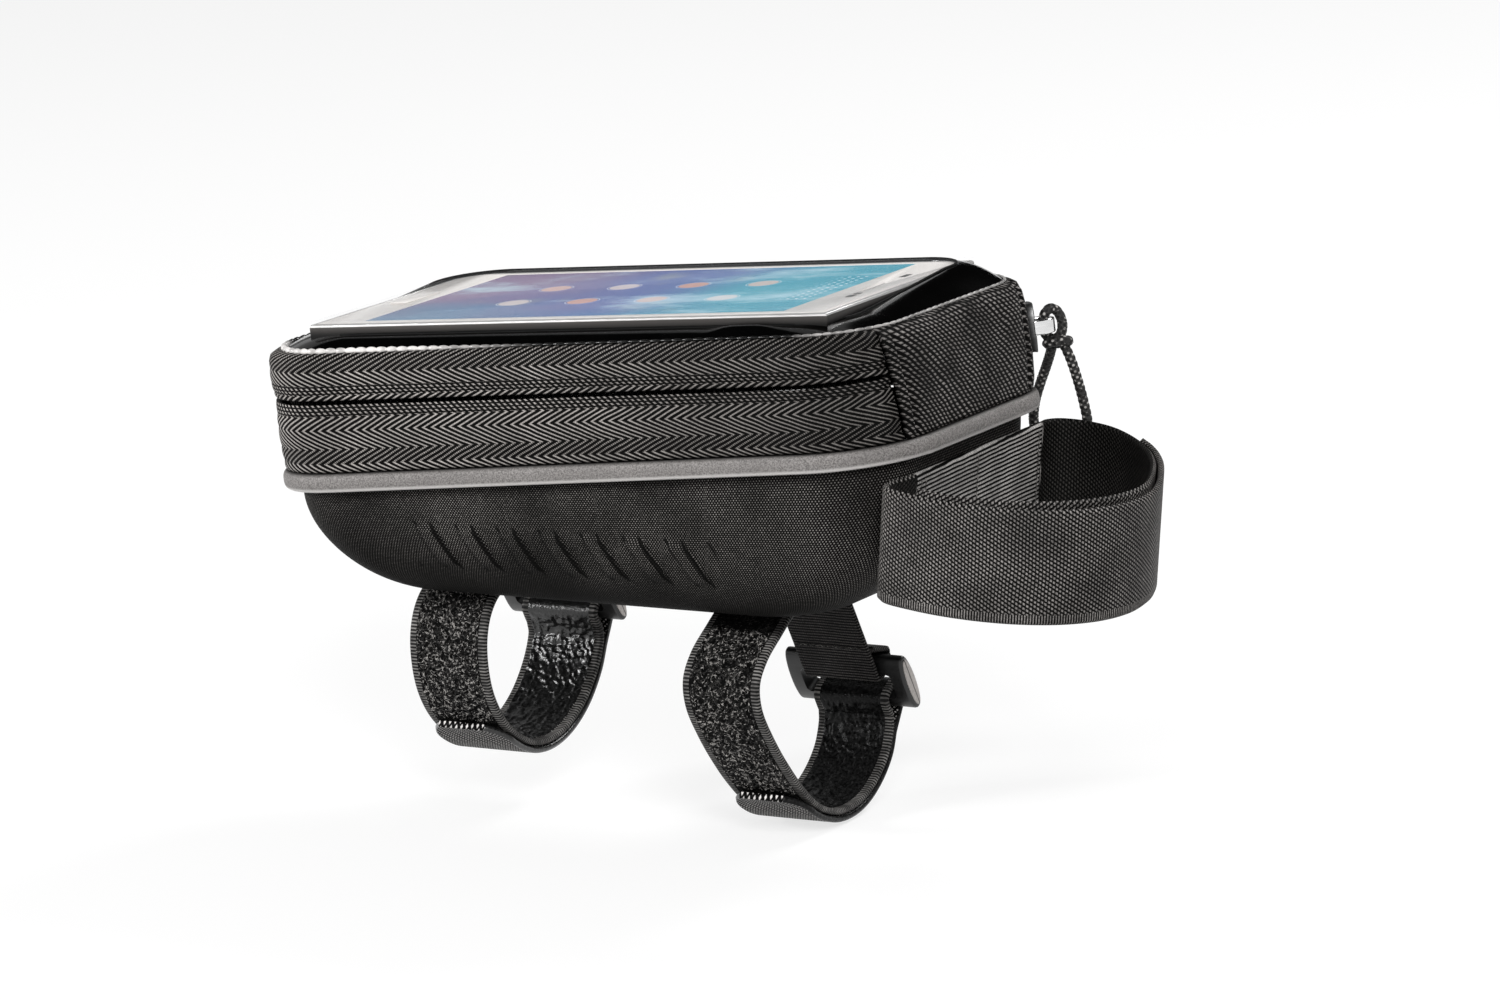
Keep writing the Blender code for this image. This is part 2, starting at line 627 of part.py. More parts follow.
def make_slider(slider_pivot):
    """The zip slider on the far front corner: a curved plate with a bail cast on it, and the cord's knot."""
    centre_x = FLANGE_HALF_LENGTH - FLANGE_CORNER_RADIUS
    centre_y = FLANGE_HALF_WIDTH - FLANGE_CORNER_RADIUS
    inner = FLANGE_CORNER_RADIUS - GUSSET_INSET + GUSSET_BULGE + GAP
    outer = inner + SLIDER_WALL
    turn = math.radians(SLIDER_ANGLE_DEG)
    outward = Vector((math.cos(turn), math.sin(turn), 0.0))
    along = Vector((-math.sin(turn), math.cos(turn), 0.0))
    middle = Vector((centre_x, centre_y, SLIDER_CENTRE_HEIGHT))

    half_height = SLIDER_HEIGHT / 2
    loops = []
    for height in (-half_height, half_height):
        loop = []
        for step in range(7):
            angle = math.radians(SLIDER_ANGLE_DEG + SLIDER_HALF_ANGLE_DEG * (step / 3 - 1))
            loop.append(middle + Vector((outer * math.cos(angle), outer * math.sin(angle), height)))
        loops.append(loop)
    slider = add_object("zip_slider", skin(loops), "slider_metal", slider_pivot)
    solidify(slider, SLIDER_WALL)
    bevel(slider, 0.4 * MM)

    arch = []
    for step in range(9):
        angle = math.radians(180 - 180 * step / 8)
        reach = -0.5 * SLIDER_WALL + (BAIL_REACH + 0.5 * SLIDER_WALL) * math.sin(angle) ** 0.6
        arch.append(middle + (outer + reach) * outward + BAIL_HALF_SPAN * math.cos(angle) * along)
    rise = Vector((0.0, 0.0, BAIL_WIDTH / 2))
    bail_loops = [[point - rise for point in arch], [point + rise for point in arch]]
    bail = add_object("bail_arch", skin(bail_loops), parent=slider_pivot, cutter=True)
    solidify(bail, BAIL_THICKNESS, 0.0)
    union = slider.modifiers.new("cast_on_bail", "BOOLEAN")
    union.operation = "UNION"
    union.solver = "EXACT"
    union.object = bail

    knot_radius = CORD_DIAMETER / 2
    half_tall = BAIL_WIDTH / 2 + KNOT_CLEARANCE + knot_radius
    half_deep = BAIL_THICKNESS / 2 + KNOT_CLEARANCE + knot_radius
    knot_loops = []
    centre = middle + (outer + BAIL_REACH) * outward
    for step in range(20):
        angle = math.radians(360 * step / 20)
        spoke = math.cos(angle) * outward + math.sin(angle) * Vector((0.0, 0.0, 1.0))
        seat = centre + half_deep * math.cos(angle) * outward + Vector((0.0, 0.0, half_tall * math.sin(angle)))
        ring = []
        for part in range(10):
            around = math.radians(360 * part / 10)
            ring.append(seat + knot_radius * (math.cos(around) * spoke + math.sin(around) * along))
        knot_loops.append(ring)
    knot = add_object(
        "cord_knot", skin(knot_loops, closed_round=True, closed_over=True), "cord_black", slider_pivot,
    )
    knot.data.shade_smooth()


def make_pull_cord(slider_pivot):
    """The cord's two strands as one tube, from the knot down and back up to it."""
    route = smooth_route(millimetres(PULL_CORD_ROUTE), CORD_POINT_SPACING)
    bpy.context.view_layer.update()
    into_pivot = slider_pivot.matrix_world.inverted()
    curve = bpy.data.curves.new("pull_cord", "CURVE")
    curve.dimensions = "3D"
    curve.bevel_depth = CORD_DIAMETER / 2
    curve.bevel_resolution = 2
    curve.use_fill_caps = True
    curve.twist_mode = "MINIMUM"
    spline = curve.splines.new("POLY")
    spline.points.add(len(route) - 1)
    for point, place in zip(spline.points, route):
        point.co = (*(into_pivot @ place), 1.0)
    curve.materials.append(make_material("cord_black"))
    cord = bpy.data.objects.new("pull_cord", curve)
    bpy.data.collections["top_tube_phone_bag"].objects.link(cord)
    cord.parent = slider_pivot


def buckle_axes(centre):
    """A buckle's middle, and its outward and upward directions in the Y and Z plane."""
    tilt = math.radians(BUCKLE_TILT_DEG)
    return Vector(centre), Vector((math.cos(tilt), math.sin(tilt))), Vector((-math.sin(tilt), math.cos(tilt)))


def make_buckle(name, centre_x, centre):
    """An oval loop with a slot, lens-shaped in section."""
    middle, outward, upward = buckle_axes(centre)
    loops = []
    for side in (-1, 1):
        loop = []
        for step in range(24):
            angle = math.radians(360 * step / 24)
            across = 0.5 * BUCKLE_THICKNESS * math.copysign(abs(math.cos(angle)) ** 0.8, math.cos(angle))
            up = 0.5 * BUCKLE_HEIGHT * math.sin(angle)
            place = middle + across * outward + up * upward
            loop.append((centre_x + side * BUCKLE_LENGTH / 2, place[0], place[1]))
        loops.append(loop)
    buckle = add_object(name, skin(loops, closed_round=True, cap_first=True, cap_last=True), "buckle_plastic")
    bevel(buckle, BUCKLE_EDGE_RADIUS)
    buckle.data.shade_smooth()
    buckle.data.set_sharp_from_angle(angle=math.radians(40))

    slot_loops = []
    slot_half_length = 0.5 * max(REAR_STRAP_WIDTH, FRONT_STRAP_WIDTH) + SLOT_SIDE_MARGIN
    for side in (-1, 1):
        corners = []
        for across, up in ((-1, -1), (1, -1), (1, 1), (-1, 1)):
            place = middle + across * BUCKLE_THICKNESS * outward + 0.5 * up * BUCKLE_SLOT_HEIGHT * upward
            corners.append((centre_x + side * slot_half_length, place[0], place[1]))
        slot_loops.append(corners)
    cut(buckle, add_object(
        name + "_slot", skin(slot_loops, closed_round=True, cap_first=True, cap_last=True), cutter=True,
    ))


def turn_over_bar(centre, thickness, side, reach):
    """Points of a strap that passes through the slot and turns over one of the buckle's bars.

    side is -1 for the lower bar and 1 for the upper one, and reach is how far the two legs run on.
    """
    middle, outward, upward = buckle_axes(centre)
    leg = 0.5 * BUCKLE_THICKNESS + GAP + 0.5 * thickness
    bridge = 0.5 * BUCKLE_SLOT_HEIGHT - GAP - 0.5 * thickness
    shape = [
        (-1.0, bridge + reach), (-1.0, bridge + 2.6 * MM), (-0.94, bridge + 0.9 * MM),
        (-0.56, bridge + 0.05 * MM), (0.0, bridge),
    ]
    shape += [(-across, up) for across, up in reversed(shape[:4])]
    return [middle + across * leg * outward + side * up * upward for across, up in shape]


def make_strap(name, centre_x, width, route_mm, lap_mm, buckle_centre):
    """A hook and loop strap: sewn under the shell, round the tube, through the buckle and back outside."""
    bar = turn_over_bar(buckle_centre, STRAP_THICKNESS, -1, STRAP_LEG_REACH)
    first_leg = smooth_route(millimetres(route_mm + lap_mm) + bar[:1], STRAP_POINT_SPACING)
    layer = STRAP_THICKNESS + GAP
    outer = shifted_route(smooth_route(millimetres(lap_mm), STRAP_POINT_SPACING), layer)
    folded = [point for point in reversed(outer)][1:]
    turn = smooth_route([*bar, folded[0]], TURN_POINT_SPACING)
    path = first_leg[:-1] + turn[:-1] + folded
    ribbon(name, path, centre_x - width / 2, centre_x + width / 2, STRAP_THICKNESS, "strap_rubber")


def make_strap_tab(name, centre_x, width, buckle_centre):
    """The webbing tab that holds a buckle: sewn under the shell, over the upper bar and sewn to itself."""
    middle, outward, upward = buckle_axes(buckle_centre)
    bar = turn_over_bar(buckle_centre, TAB_THICKNESS, 1, TAB_LEG_REACH)
    leg = 0.5 * BUCKLE_THICKNESS + GAP + 0.5 * TAB_THICKNESS
    seat = -GAP - 0.5 * TAB_THICKNESS
    run = (seat - (middle - leg * outward)[1]) / upward[1]
    corner = middle - leg * outward + run * upward
    flats = (TAB_SEWN_LENGTH, TAB_BEND_START, TAB_BEND_MIDDLE)
    start = [Vector((corner[0] - flat, seat)) for flat in flats]
    start += [corner - slope * upward for slope in (TAB_BEND_MIDDLE, TAB_BEND_START)]
    end_rise = BUCKLE_HEIGHT / 2 + TAB_END_OVERHANG
    last = middle + (-leg + TAB_THICKNESS + GAP) * outward + end_rise * upward
    path = smooth_route(start + bar[1:] + [last], TURN_POINT_SPACING)
    ribbon(name, path, centre_x - width / 2, centre_x + width / 2, TAB_THICKNESS, "webbing")


def make_head_loop(head_frame):
    """The patch sewn on the shell's front face, and the two webbing tails that close round the head tube."""
    patch = [Vector((0.0, PATCH_NEAR_Y)), Vector((0.0, PATCH_FAR_Y))]
    ribbon(
        "head_strap_patch", patch, -HEAD_WEB_WIDTH, 0.0, HEAD_WEB_THICKNESS, "webbing", head_frame, upright=True,
    )
    for name, route in (("head_strap_near_tail", NEAR_TAIL_ROUTE), ("head_strap_far_tail", FAR_TAIL_ROUTE)):
        ribbon(
            name, smooth_route(millimetres(route), WEB_POINT_SPACING), -HEAD_WEB_WIDTH, 0.0,
            HEAD_WEB_THICKNESS, "webbing", head_frame, upright=True,
        )


def main():
    for item in list(bpy.data.objects):
        bpy.data.objects.remove(item)
    for name in ("top_tube_phone_bag", "cutters"):
        collection = bpy.data.collections.new(name)
        bpy.context.scene.collection.children.link(collection)

    bag_frame = add_empty("bag_frame", (0.0, 0.0, SHELL_DEPTH), rotation_y=-math.radians(FLANGE_PITCH_DEG))
    seam_x = FLANGE_HALF_LENGTH - GUSSET_INSET - GUSSET_TOP_ROLL - GAP / 2
    lid_hinge = add_empty("lid_hinge", (seam_x, 0.0, gusset_top(seam_x)), bag_frame, joint=True)
    corner = (FLANGE_HALF_LENGTH - FLANGE_CORNER_RADIUS, FLANGE_HALF_WIDTH - FLANGE_CORNER_RADIUS, 0.0)
    slider_pivot = add_empty("slider_pivot", corner, bag_frame, joint=True)
    phone_place = Vector((PHONE_CENTRE_X, 0.0, PHONE_TOP_HEIGHT)) - lid_hinge.location
    phone_frame = add_empty("phone_frame", phone_place, lid_hinge, rotation_y=math.radians(LID_PITCH_DEG))
    head_frame = add_empty(
        "head_loop_frame", (HEAD_LOOP_X, 0.0, HEAD_LOOP_TOP), rotation_y=math.radians(HEAD_LOOP_TILT_DEG),
    )

    make_shell()
    make_piping(bag_frame)
    make_gusset(bag_frame, lid_hinge)
    make_window(lid_hinge, phone_frame)
    make_phone(phone_frame)
    make_slider(slider_pivot)
    make_pull_cord(slider_pivot)
    for side, centre_x, width, route, lap, centre in (
        ("rear", REAR_STRAP_X, REAR_STRAP_WIDTH, REAR_STRAP_ROUTE, REAR_LAP_ROUTE, REAR_BUCKLE_CENTRE),
        ("front", FRONT_STRAP_X, FRONT_STRAP_WIDTH, FRONT_STRAP_ROUTE, FRONT_LAP_ROUTE, FRONT_BUCKLE_CENTRE),
    ):
        make_buckle(side + "_buckle", centre_x, centre)
        make_strap(side + "_strap", centre_x, width, route, lap, centre)
        make_strap_tab(side + "_strap_tab", centre_x, width, centre)
    make_head_loop(head_frame)


main()
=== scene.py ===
"""The looks of a top tube phone bag: zipped gusset, moulded shell, gloss window, straps and a head loop."""
import math

import bmesh
import bpy
import numpy as np
from mathutils import Matrix, Vector


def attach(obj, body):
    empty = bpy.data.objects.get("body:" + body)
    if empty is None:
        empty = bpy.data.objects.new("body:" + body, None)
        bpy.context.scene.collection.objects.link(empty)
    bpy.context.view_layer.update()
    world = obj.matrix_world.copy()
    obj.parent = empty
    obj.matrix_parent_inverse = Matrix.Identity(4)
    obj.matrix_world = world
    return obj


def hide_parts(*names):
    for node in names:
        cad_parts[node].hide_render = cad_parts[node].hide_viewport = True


MM = 0.001
MM_IN_METRE = 1000.0
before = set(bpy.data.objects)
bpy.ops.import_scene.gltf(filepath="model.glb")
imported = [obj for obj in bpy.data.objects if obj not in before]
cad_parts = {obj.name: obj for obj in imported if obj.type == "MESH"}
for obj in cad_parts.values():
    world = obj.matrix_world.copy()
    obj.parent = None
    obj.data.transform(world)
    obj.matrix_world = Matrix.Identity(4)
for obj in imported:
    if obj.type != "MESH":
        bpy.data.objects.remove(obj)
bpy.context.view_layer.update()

# Sizes shared with the CAD source, then those of the visual model alone
FLANGE = (84.7 * MM, 44.6 * MM, 22.0 * MM)
SHELL_DEPTH = 31.0 * MM
SHELL_PITCH = math.radians(5.5)
SHELL_WALL = 2.5 * MM
SHELL_INSET = 4.3 * MM
SEAT = (-51.0 * MM, 45.0 * MM, 27.0 * MM, 10.0 * MM)
ROUNDING = (0.60, 0.42, 0.50)
PIPING = (4.3 * MM, 4.0 * MM)
GAP = 0.3 * MM
GUSSET_INSET = 1.0 * MM
GUSSET_BULGE = 0.5 * MM
GUSSET_ROLL = 3.2 * MM
GUSSET_TOPS = (32.4 * MM, 29.6 * MM)
ZIP_LINE = 19.3 * MM
SEAM_ANGLES = (21.0, 31.0)
PHONE = (68.3 * MM, 34.9 * MM, 12.5 * MM)
PHONE_THICK = 7.9 * MM
PHONE_PLACE = (0.5 * MM, 36.0 * MM)
LID_PITCH = math.radians(1.5)
SLIDER_ANGLE = math.radians(42.0)
SLIDER_HEIGHT = 17.6 * MM
CORD = 2.4 * MM
FLOOR_HEIGHT = -57.0 * MM
HEAD_LOOP = (81.0 * MM, 35.0 * MM, math.radians(6.0))
FOOT = 4.65 * MM
LIP_LOW = -2.5 * MM
LIP_RUN = 40.0 * MM
SCREEN = (55.35 * MM, 31.15 * MM, 0.6 * MM)
BUCKLE = (31.0 * MM, 15.5 * MM, 5.0 * MM)
BUCKLE_SLOT = (24.0 * MM, 12.0 * MM, 7.4 * MM)
BUCKLE_TILT = math.radians(30.0)
TAPE_THICK = 1.2 * MM
HALF_SLIT = 0.45 * MM
STRAP_THICK = 1.5 * MM
WEB_THICK = 1.4 * MM
HEAD_WIDTH = 26.0 * MM
SELVEDGE = 2.4 * MM
BRAID_RELIEF = 0.10 * MM
PLASTIC_DEPTH = 0.03
THREAD_BLACK = (0.0012, 0.0011, 0.001)
WEB_BLACK = (0.0018, 0.0017, 0.0016)
STRAP_STEP = 0.36 * MM
TAB_STEP = 0.5 * MM
HEAD_STEP = 0.7 * MM
STITCH_RISE = 0.22 * MM
STITCH_RADIUS = 0.14 * MM
LOOP_RADIUS = 0.095 * MM

BAG = Matrix.Translation((0, 0, SHELL_DEPTH)) @ Matrix.Rotation(-SHELL_PITCH, 4, "Y")
ON_PHONE = BAG @ Matrix.Translation((PHONE_PLACE[0], 0, PHONE_PLACE[1])) @ Matrix.Rotation(LID_PITCH, 4, "Y")
ON_HEAD = Matrix.Translation((HEAD_LOOP[0], 0, HEAD_LOOP[1])) @ Matrix.Rotation(HEAD_LOOP[2], 4, "Y")


# Node signals and finishes
def grey(level):
    return (level, level, level)


class Signal:
    """A number that varies over a surface, built up from Math nodes."""

    def __init__(self, tree, socket):
        self.tree = tree
        self.socket = socket

    def math(self, operation, *others):
        node = self.tree.nodes.new("ShaderNodeMath")
        node.operation = operation
        for slot, value in zip(node.inputs, (self, *others)):
            feed(self.tree, slot, value)
        return Signal(self.tree, node.outputs[0])

    def __add__(self, other):
        return self.math("ADD", other)

    def __mul__(self, other):
        return self.math("MULTIPLY", other)

    def __sub__(self, other):
        return self.math("SUBTRACT", other)

    def __rsub__(self, other):
        return self * -1.0 + other

    def __truediv__(self, other):
        return self.math("DIVIDE", other)

    __radd__ = __add__
    __rmul__ = __mul__

    def wave(self):
        """0 to 1 and back for each whole number passed, highest at the whole numbers."""
        return (self * (2 * math.pi)).math("COSINE") * 0.5 + 0.5

    def power(self, exponent):
        return self.math("POWER", exponent)

    def floor(self):
        return self.math("FLOOR")

    def fraction(self):
        return self.math("FRACT")

    def size(self):
        return self.math("ABSOLUTE")

    def least(self, other):
        return self.math("MINIMUM", other)

    def most(self, other):
        return self.math("MAXIMUM", other)

    def above(self, level):
        return self.math("GREATER_THAN", level)

    def ramp(self, low, high):
        """0 below low, 1 above high, smooth between."""
        node = self.tree.nodes.new("ShaderNodeMapRange")
        node.interpolation_type = "SMOOTHSTEP"
        feed(self.tree, node.inputs["Value"], self)
        node.inputs["From Min"].default_value = low
        node.inputs["From Max"].default_value = high
        return Signal(self.tree, node.outputs["Result"])

    def between(self, low, high, soft):
        return self.ramp(low - soft, low + soft) * (1.0 - self.ramp(high - soft, high + soft))


def feed(tree, slot, value):
    """Give a socket a signal or a plain value."""
    if isinstance(value, Signal):
        tree.links.new(value.socket, slot)
    else:
        slot.default_value = value


class Finish:
    """A material in the making: its shader, and the places its patterns are drawn from."""

    def __init__(self, name, color, roughness, **fixed):
        self.material = bpy.data.materials.new(name)
        self.material.use_nodes = True
        self.tree = self.material.node_tree
        self.shader = self.tree.nodes["Principled BSDF"]
        self.shader.inputs["Base Color"].default_value = (*color, 1)
        self.shader.inputs["Roughness"].default_value = roughness
        for title, value in fixed.items():
            self.shader.inputs[title.replace("_", " ")].default_value = value
        self.material.diffuse_color = (*color, 1)

    def node(self, kind):
        return self.tree.nodes.new("ShaderNode" + kind)

    def split(self, socket, count=3):
        parts = self.node("SeparateXYZ")
        self.tree.links.new(socket, parts.inputs[0])
        return [Signal(self.tree, parts.outputs[i]) * MM_IN_METRE for i in range(count)]

    def cloth(self):
        """Millimetres along and up the cloth, from its own UV map."""
        node = self.node("UVMap")
        node.uv_map = "cloth"
        return self.split(node.outputs[0], 2)

    def place(self):
        """Millimetres along X, Y and Z."""
        return self.split(self.node("TexCoord").outputs["Object"])

    def noise(self, per_mm, detail=2.0, rough=0.5, at=None):
        """Noise from 0 to 1 with so many cells to the millimetre, on the piece's place or on (along, up)."""
        node = self.node("TexNoise")
        node.inputs["Scale"].default_value = per_mm * (1.0 if at else MM_IN_METRE)
        node.inputs["Detail"].default_value = detail
        node.inputs["Roughness"].default_value = rough
        if at:
            join = self.node("CombineXYZ")
            for slot, value in zip(join.inputs, at):
                feed(self.tree, slot, value)
            self.tree.links.new(join.outputs[0], node.inputs["Vector"])
        else:
            self.tree.links.new(self.node("TexCoord").outputs["Object"], node.inputs["Vector"])
        return Signal(self.tree, node.outputs["Fac"])

    def worn(self, per_mm, low, high, depth, floor, detail=2.0, at=None):
        """Noise stretched between low and high, as a factor that runs from floor up by depth."""
        return self.noise(per_mm, detail, at=at).ramp(low, high) * depth + floor

    def beads(self, per_mm):
        """Distance to the nearest of scattered points."""
        node = self.node("TexVoronoi")
        node.inputs["Scale"].default_value = per_mm * MM_IN_METRE
        self.tree.links.new(self.node("TexCoord").outputs["Object"], node.inputs["Vector"])
        return Signal(self.tree, node.outputs["Distance"])

    def mix(self, amount, dark, light):
        """A colour between two, which may be colours or the sockets of earlier mixes."""
        node = self.node("Mix")
        node.data_type = "RGBA"
        feed(self.tree, node.inputs[0], amount)
        for slot, value in ((node.inputs[6], dark), (node.inputs[7], light)):
            if isinstance(value, tuple):
                slot.default_value = (*value, 1)
            else:
                self.tree.links.new(value, slot)
        return node.outputs[2]

    def color(self, shade):
        self.tree.links.new(shade, self.shader.inputs["Base Color"])

    def paint(self, amount, dark, light):
        self.color(self.mix(amount, dark, light))

    def rough(self, signal):
        feed(self.tree, self.shader.inputs["Roughness"], signal)

    def bump(self, height, depth_mm, strength=1.0):
        node = self.node("Bump")
        node.inputs["Distance"].default_value = depth_mm * MM
        node.inputs["Strength"].default_value = strength
        feed(self.tree, node.inputs["Height"], height)
        self.tree.links.new(node.outputs[0], self.shader.inputs["Normal"])


def zigzag(up, bands):
    """A height that climbs and falls: each band is (low, high, direction)."""
    total = None
    for low, high, direction in bands:
        part = up.most(low).least(high) * direction
        total = part if total is None else total + part
    return total


def in_bands(up, bands):
    """1 inside any of the bands."""
    total = None
    for low, high in bands:
        part = up.between(low, high, 0.08)
        total = part if total is None else total + part
    return total


def herringbone(name, bands, dotted, knitted):
    """Zip tape: slanted threads that change direction from band to band, with knit rows beside the coil; its
    pale threads carry painted sheen, and painted shade darkens it towards the front.
    """
    finish = Finish(name, grey(0.05), 0.45, Specular_IOR_Level=0.05)
    along, up = finish.cloth()
    wander = finish.noise(0.08, 2.0, at=(along, up)) * 0.8
    slope = zigzag(up, bands)
    phase = along / 2.36 + slope / 1.05 + wander
    thread = phase.wave().ramp(0.48, 0.86)
    beads = ((along - slope * 0.9) / 0.70).wave().ramp(0.15, 0.75)
    dots = in_bands(up, dotted)
    thread = thread * (1.0 - dots * (1.0 - beads) * 0.8)
    row = (up / 0.8).floor()
    loops = (along / 1.60 + row * 0.5 + (up / 0.8).fraction() * 0.55).wave().ramp(0.35, 0.85)
    loops = loops * (up / 0.8 + 0.5).wave().ramp(0.12, 0.6)
    knit = in_bands(up, knitted)
    thread = thread * (1.0 - knit) + loops * knit
    patchy_tone_and_painted_shade = finish.worn(0.05, 0.3, 0.72, 0.35, 0.65, at=(along, up))
    # painted shade: the colour darkens steadily from x = -30 to 60 mm, where less light falls on the tape
    patchy_tone_and_painted_shade = patchy_tone_and_painted_shade * (1.0 - finish.place()[0].ramp(-30.0, 60.0) * 0.55)
    fuzz = finish.worn(4.0, 0.3, 0.75, 0.55, 0.55)
    strand = ((along * 0.9 - slope * 0.5) / 0.21).wave() * 0.25 + 0.75
    # the pale thread colour is the weave's pattern plus painted sheen, standing in for the glint of the black
    # threads
    finish.paint(thread * patchy_tone_and_painted_shade * fuzz * strand, THREAD_BLACK, (0.70, 0.655, 0.62))
    finish.rough(0.62 - thread * 0.2)
    finish.bump(thread, 0.22)
    return finish.material


def shell_fabric():
    """Fine black weave moulded over foam, with painted shade: paler round the middle of the side and dark at
    the bottom.
    """
    finish = Finish("moulded_weave", grey(0.02), 0.55, Specular_IOR_Level=0.05)
    along, up = finish.cloth()
    x, y, z = finish.place()
    wander = finish.noise(0.03, 2.0) * 2.0
    row = (up / 0.55).floor()
    knots = (along / 0.68 + row * 0.5 + wander).wave().ramp(0.35, 0.95)
    knots = knots * (up / 0.55 + 0.5).wave().ramp(0.1, 0.8)
    tone = finish.worn(0.045, 0.25, 0.75, 0.7, 0.35, detail=3.0)
    grain = finish.worn(2.2, 0.35, 0.75, 0.7, 0.45)
    # painted shade: the weave's colour darkens towards the bottom of the shell, where less light falls
    painted_height_shade = (z + finish.noise(0.04, 2.0) * 10.0).ramp(5.0, 23.0) * 0.86 + 0.14
    # painted shade: a dark outline round each pressed rib, standing in for the shade at its foot
    lean = ((x + 42.5 + (z - 13.0) * 0.55) / 11.0).fraction() * 11.0 - 5.5
    edge = (lean.size() - 2.1).size()
    edge = (1.0 - edge.ramp(0.15, 0.7)) * z.between(7.6, 19.0, 0.3)
    edge = edge * x.between(-43.5, 36.5, 0.5) * (0.0 - y).ramp(18.0, 22.0)
    knots = knots * (1.0 - edge * 0.95)
    finish.paint(knots * tone * grain * painted_height_shade, (0.0018, 0.0017, 0.0015), (0.37, 0.35, 0.33))
    finish.rough(0.68 - knots * 0.15)
    finish.bump(knots + finish.noise(1.2, 2.0) * 0.35, 0.10)
    return finish.material


def lining_cloth(name, color):
    """Plain woven lining."""
    finish = Finish(name, color, 0.85, Sheen_Weight=0.25, Sheen_Roughness=0.5)
    x, y, z = finish.place()
    weave = ((x + z) / 0.5).wave() * ((y + z * 0.6) / 0.5).wave()
    light = tuple(min(1.0, c * 1.9) for c in color)
    finish.paint(weave * 0.7 + finish.noise(0.2, 3.0) * 0.4, color, light)
    finish.bump(weave, 0.06)
    return finish.material


def reflective_band():
    """Reflective grey tape: pale, matt, with fine glass-bead speckle, a painted highlight along its lower
    edge and a painted shadow along its top.
    """
    finish = Finish("reflective_band", (0.5, 0.47, 0.46), 0.5, Specular_IOR_Level=0.3)
    up = finish.cloth()[1]
    speckle = finish.noise(2.6, 3.0, 0.7)
    beads = finish.beads(3.0)
    soil = finish.noise(0.07, 3.0).ramp(0.35, 0.75)
    shade = finish.mix(speckle.ramp(0.32, 0.66), (0.10, 0.094, 0.09), (0.32, 0.302, 0.292))
    shade = finish.mix(soil * 0.35, shade, (0.15, 0.14, 0.136))
    # painted highlight: near-white along the band's lower edge
    shade = finish.mix(up.between(2.7, 4.1, 0.5) * 0.8, shade, (0.95, 0.92, 0.90))
    # painted shadow: near-black along the band's top, under the tape's hem
    shade = finish.mix(up.ramp(7.0, 8.3) * 0.8, shade, (0.02, 0.019, 0.018))
    finish.color(shade)
    finish.rough(0.42 + beads * 0.25)
    finish.bump(speckle + beads * 0.4, 0.08)
    return finish.material


def front_weave():
    """Coarse ballistic weave: rows of short slanted dashes, every second row set off by half."""
    finish = Finish("ballistic_weave", grey(0.03), 0.5, Specular_IOR_Level=0.05)
    along, up = finish.cloth()
    across = along + finish.noise(0.07, 2.0, at=(along, up)) * 3.0
    rise = up + finish.noise(0.07, 2.0, at=(up, along)) * 3.0
    row = (rise / 0.98).floor()
    inside = (rise / 0.98).fraction() - 0.5
    dash = (across / 2.1 + row * 0.5 + inside * 0.5).wave().ramp(0.38, 0.85)
    dash = dash * (1.0 - inside.size() * 2.0).ramp(0.05, 0.7)
    split = ((across + rise * 0.7) / 0.34).wave() * 0.35 + 0.65
    tone = finish.worn(0.10, 0.3, 0.7, 0.7, 0.4, detail=3.0)
    fuzz = finish.worn(4.0, 0.3, 0.7, 0.5, 0.6)
    finish.paint(dash * split * tone * fuzz, THREAD_BLACK, (0.40, 0.375, 0.36))
    finish.rough(0.6 - dash * 0.2)
    finish.bump(dash * 0.8 + split * 0.2, 0.26)
    return finish.material


def gloss_frame():
    """Black gloss moulded window surround, with a faint orange-peel and a little dust."""
    finish = Finish("gloss_surround", grey(0.002), 0.12, Specular_IOR_Level=0.5)
    peel = finish.noise(0.10, 2.0)
    dust = finish.noise(1.5, 3.0, 0.6).ramp(0.62, 0.9)
    finish.paint(dust * 0.7 + peel * 0.2, grey(0.0006), (0.005, 0.005, 0.0052))
    finish.rough(0.09 + dust * 0.10 + peel * 0.05)
    finish.bump(peel, 0.12, 0.35)
    return finish.material


def clear_film():
    """Soft clear plastic over the phone."""
    finish = Finish("clear_film", (0.9, 0.92, 0.95), 0.05, Alpha=0.05, IOR=1.45)
    finish.rough(0.04 + finish.noise(0.4, 2.0) * 0.06)
    finish.bump(finish.noise(0.03, 1.0), 0.12, 0.12)
    return finish.material


def ribbed_edge():
    """A strap's selvedge: fine ribs straight across the edge."""
    finish = Finish("ribbed_selvedge", grey(0.02), 0.5, Specular_IOR_Level=0.15)
    along = finish.cloth()[1]
    ribs = (along / 0.78).wave().ramp(0.25, 0.85)
    tone = finish.worn(0.3, 0.3, 0.7, 0.7, 0.3)
    finish.paint(ribs * tone, grey(0.002), (0.26, 0.25, 0.24))
    finish.bump(ribs, 0.14)
    return finish.material


def scalloped_edge():
    """The window's sewn edge: shiny, with painted glints in pale colour along the near rear side and fainter
    at the front, fading to black elsewhere.
    """
    finish = Finish("scalloped_edge", grey(0.02), 0.2, Specular_IOR_Level=0.5)
    x, y = finish.place()[:2]
    # painted glint: pale colour placed along the near rear side and, at half strength, at the front end
    pale = (1.0 - x.ramp(-46.0, -4.0)) * (1.0 - y.ramp(-34.0, -24.0)) + x.ramp(58.0, 66.0) * 0.5
    pale = pale * finish.worn(0.3, 0.3, 0.6, 0.5, 0.5)
    finish.paint(pale, grey(0.003), (0.88, 0.85, 0.83))
    finish.rough(0.18 + finish.noise(1.0, 2.0) * 0.15)
    finish.bump(finish.noise(0.8, 2.0), 0.05)
    return finish.material


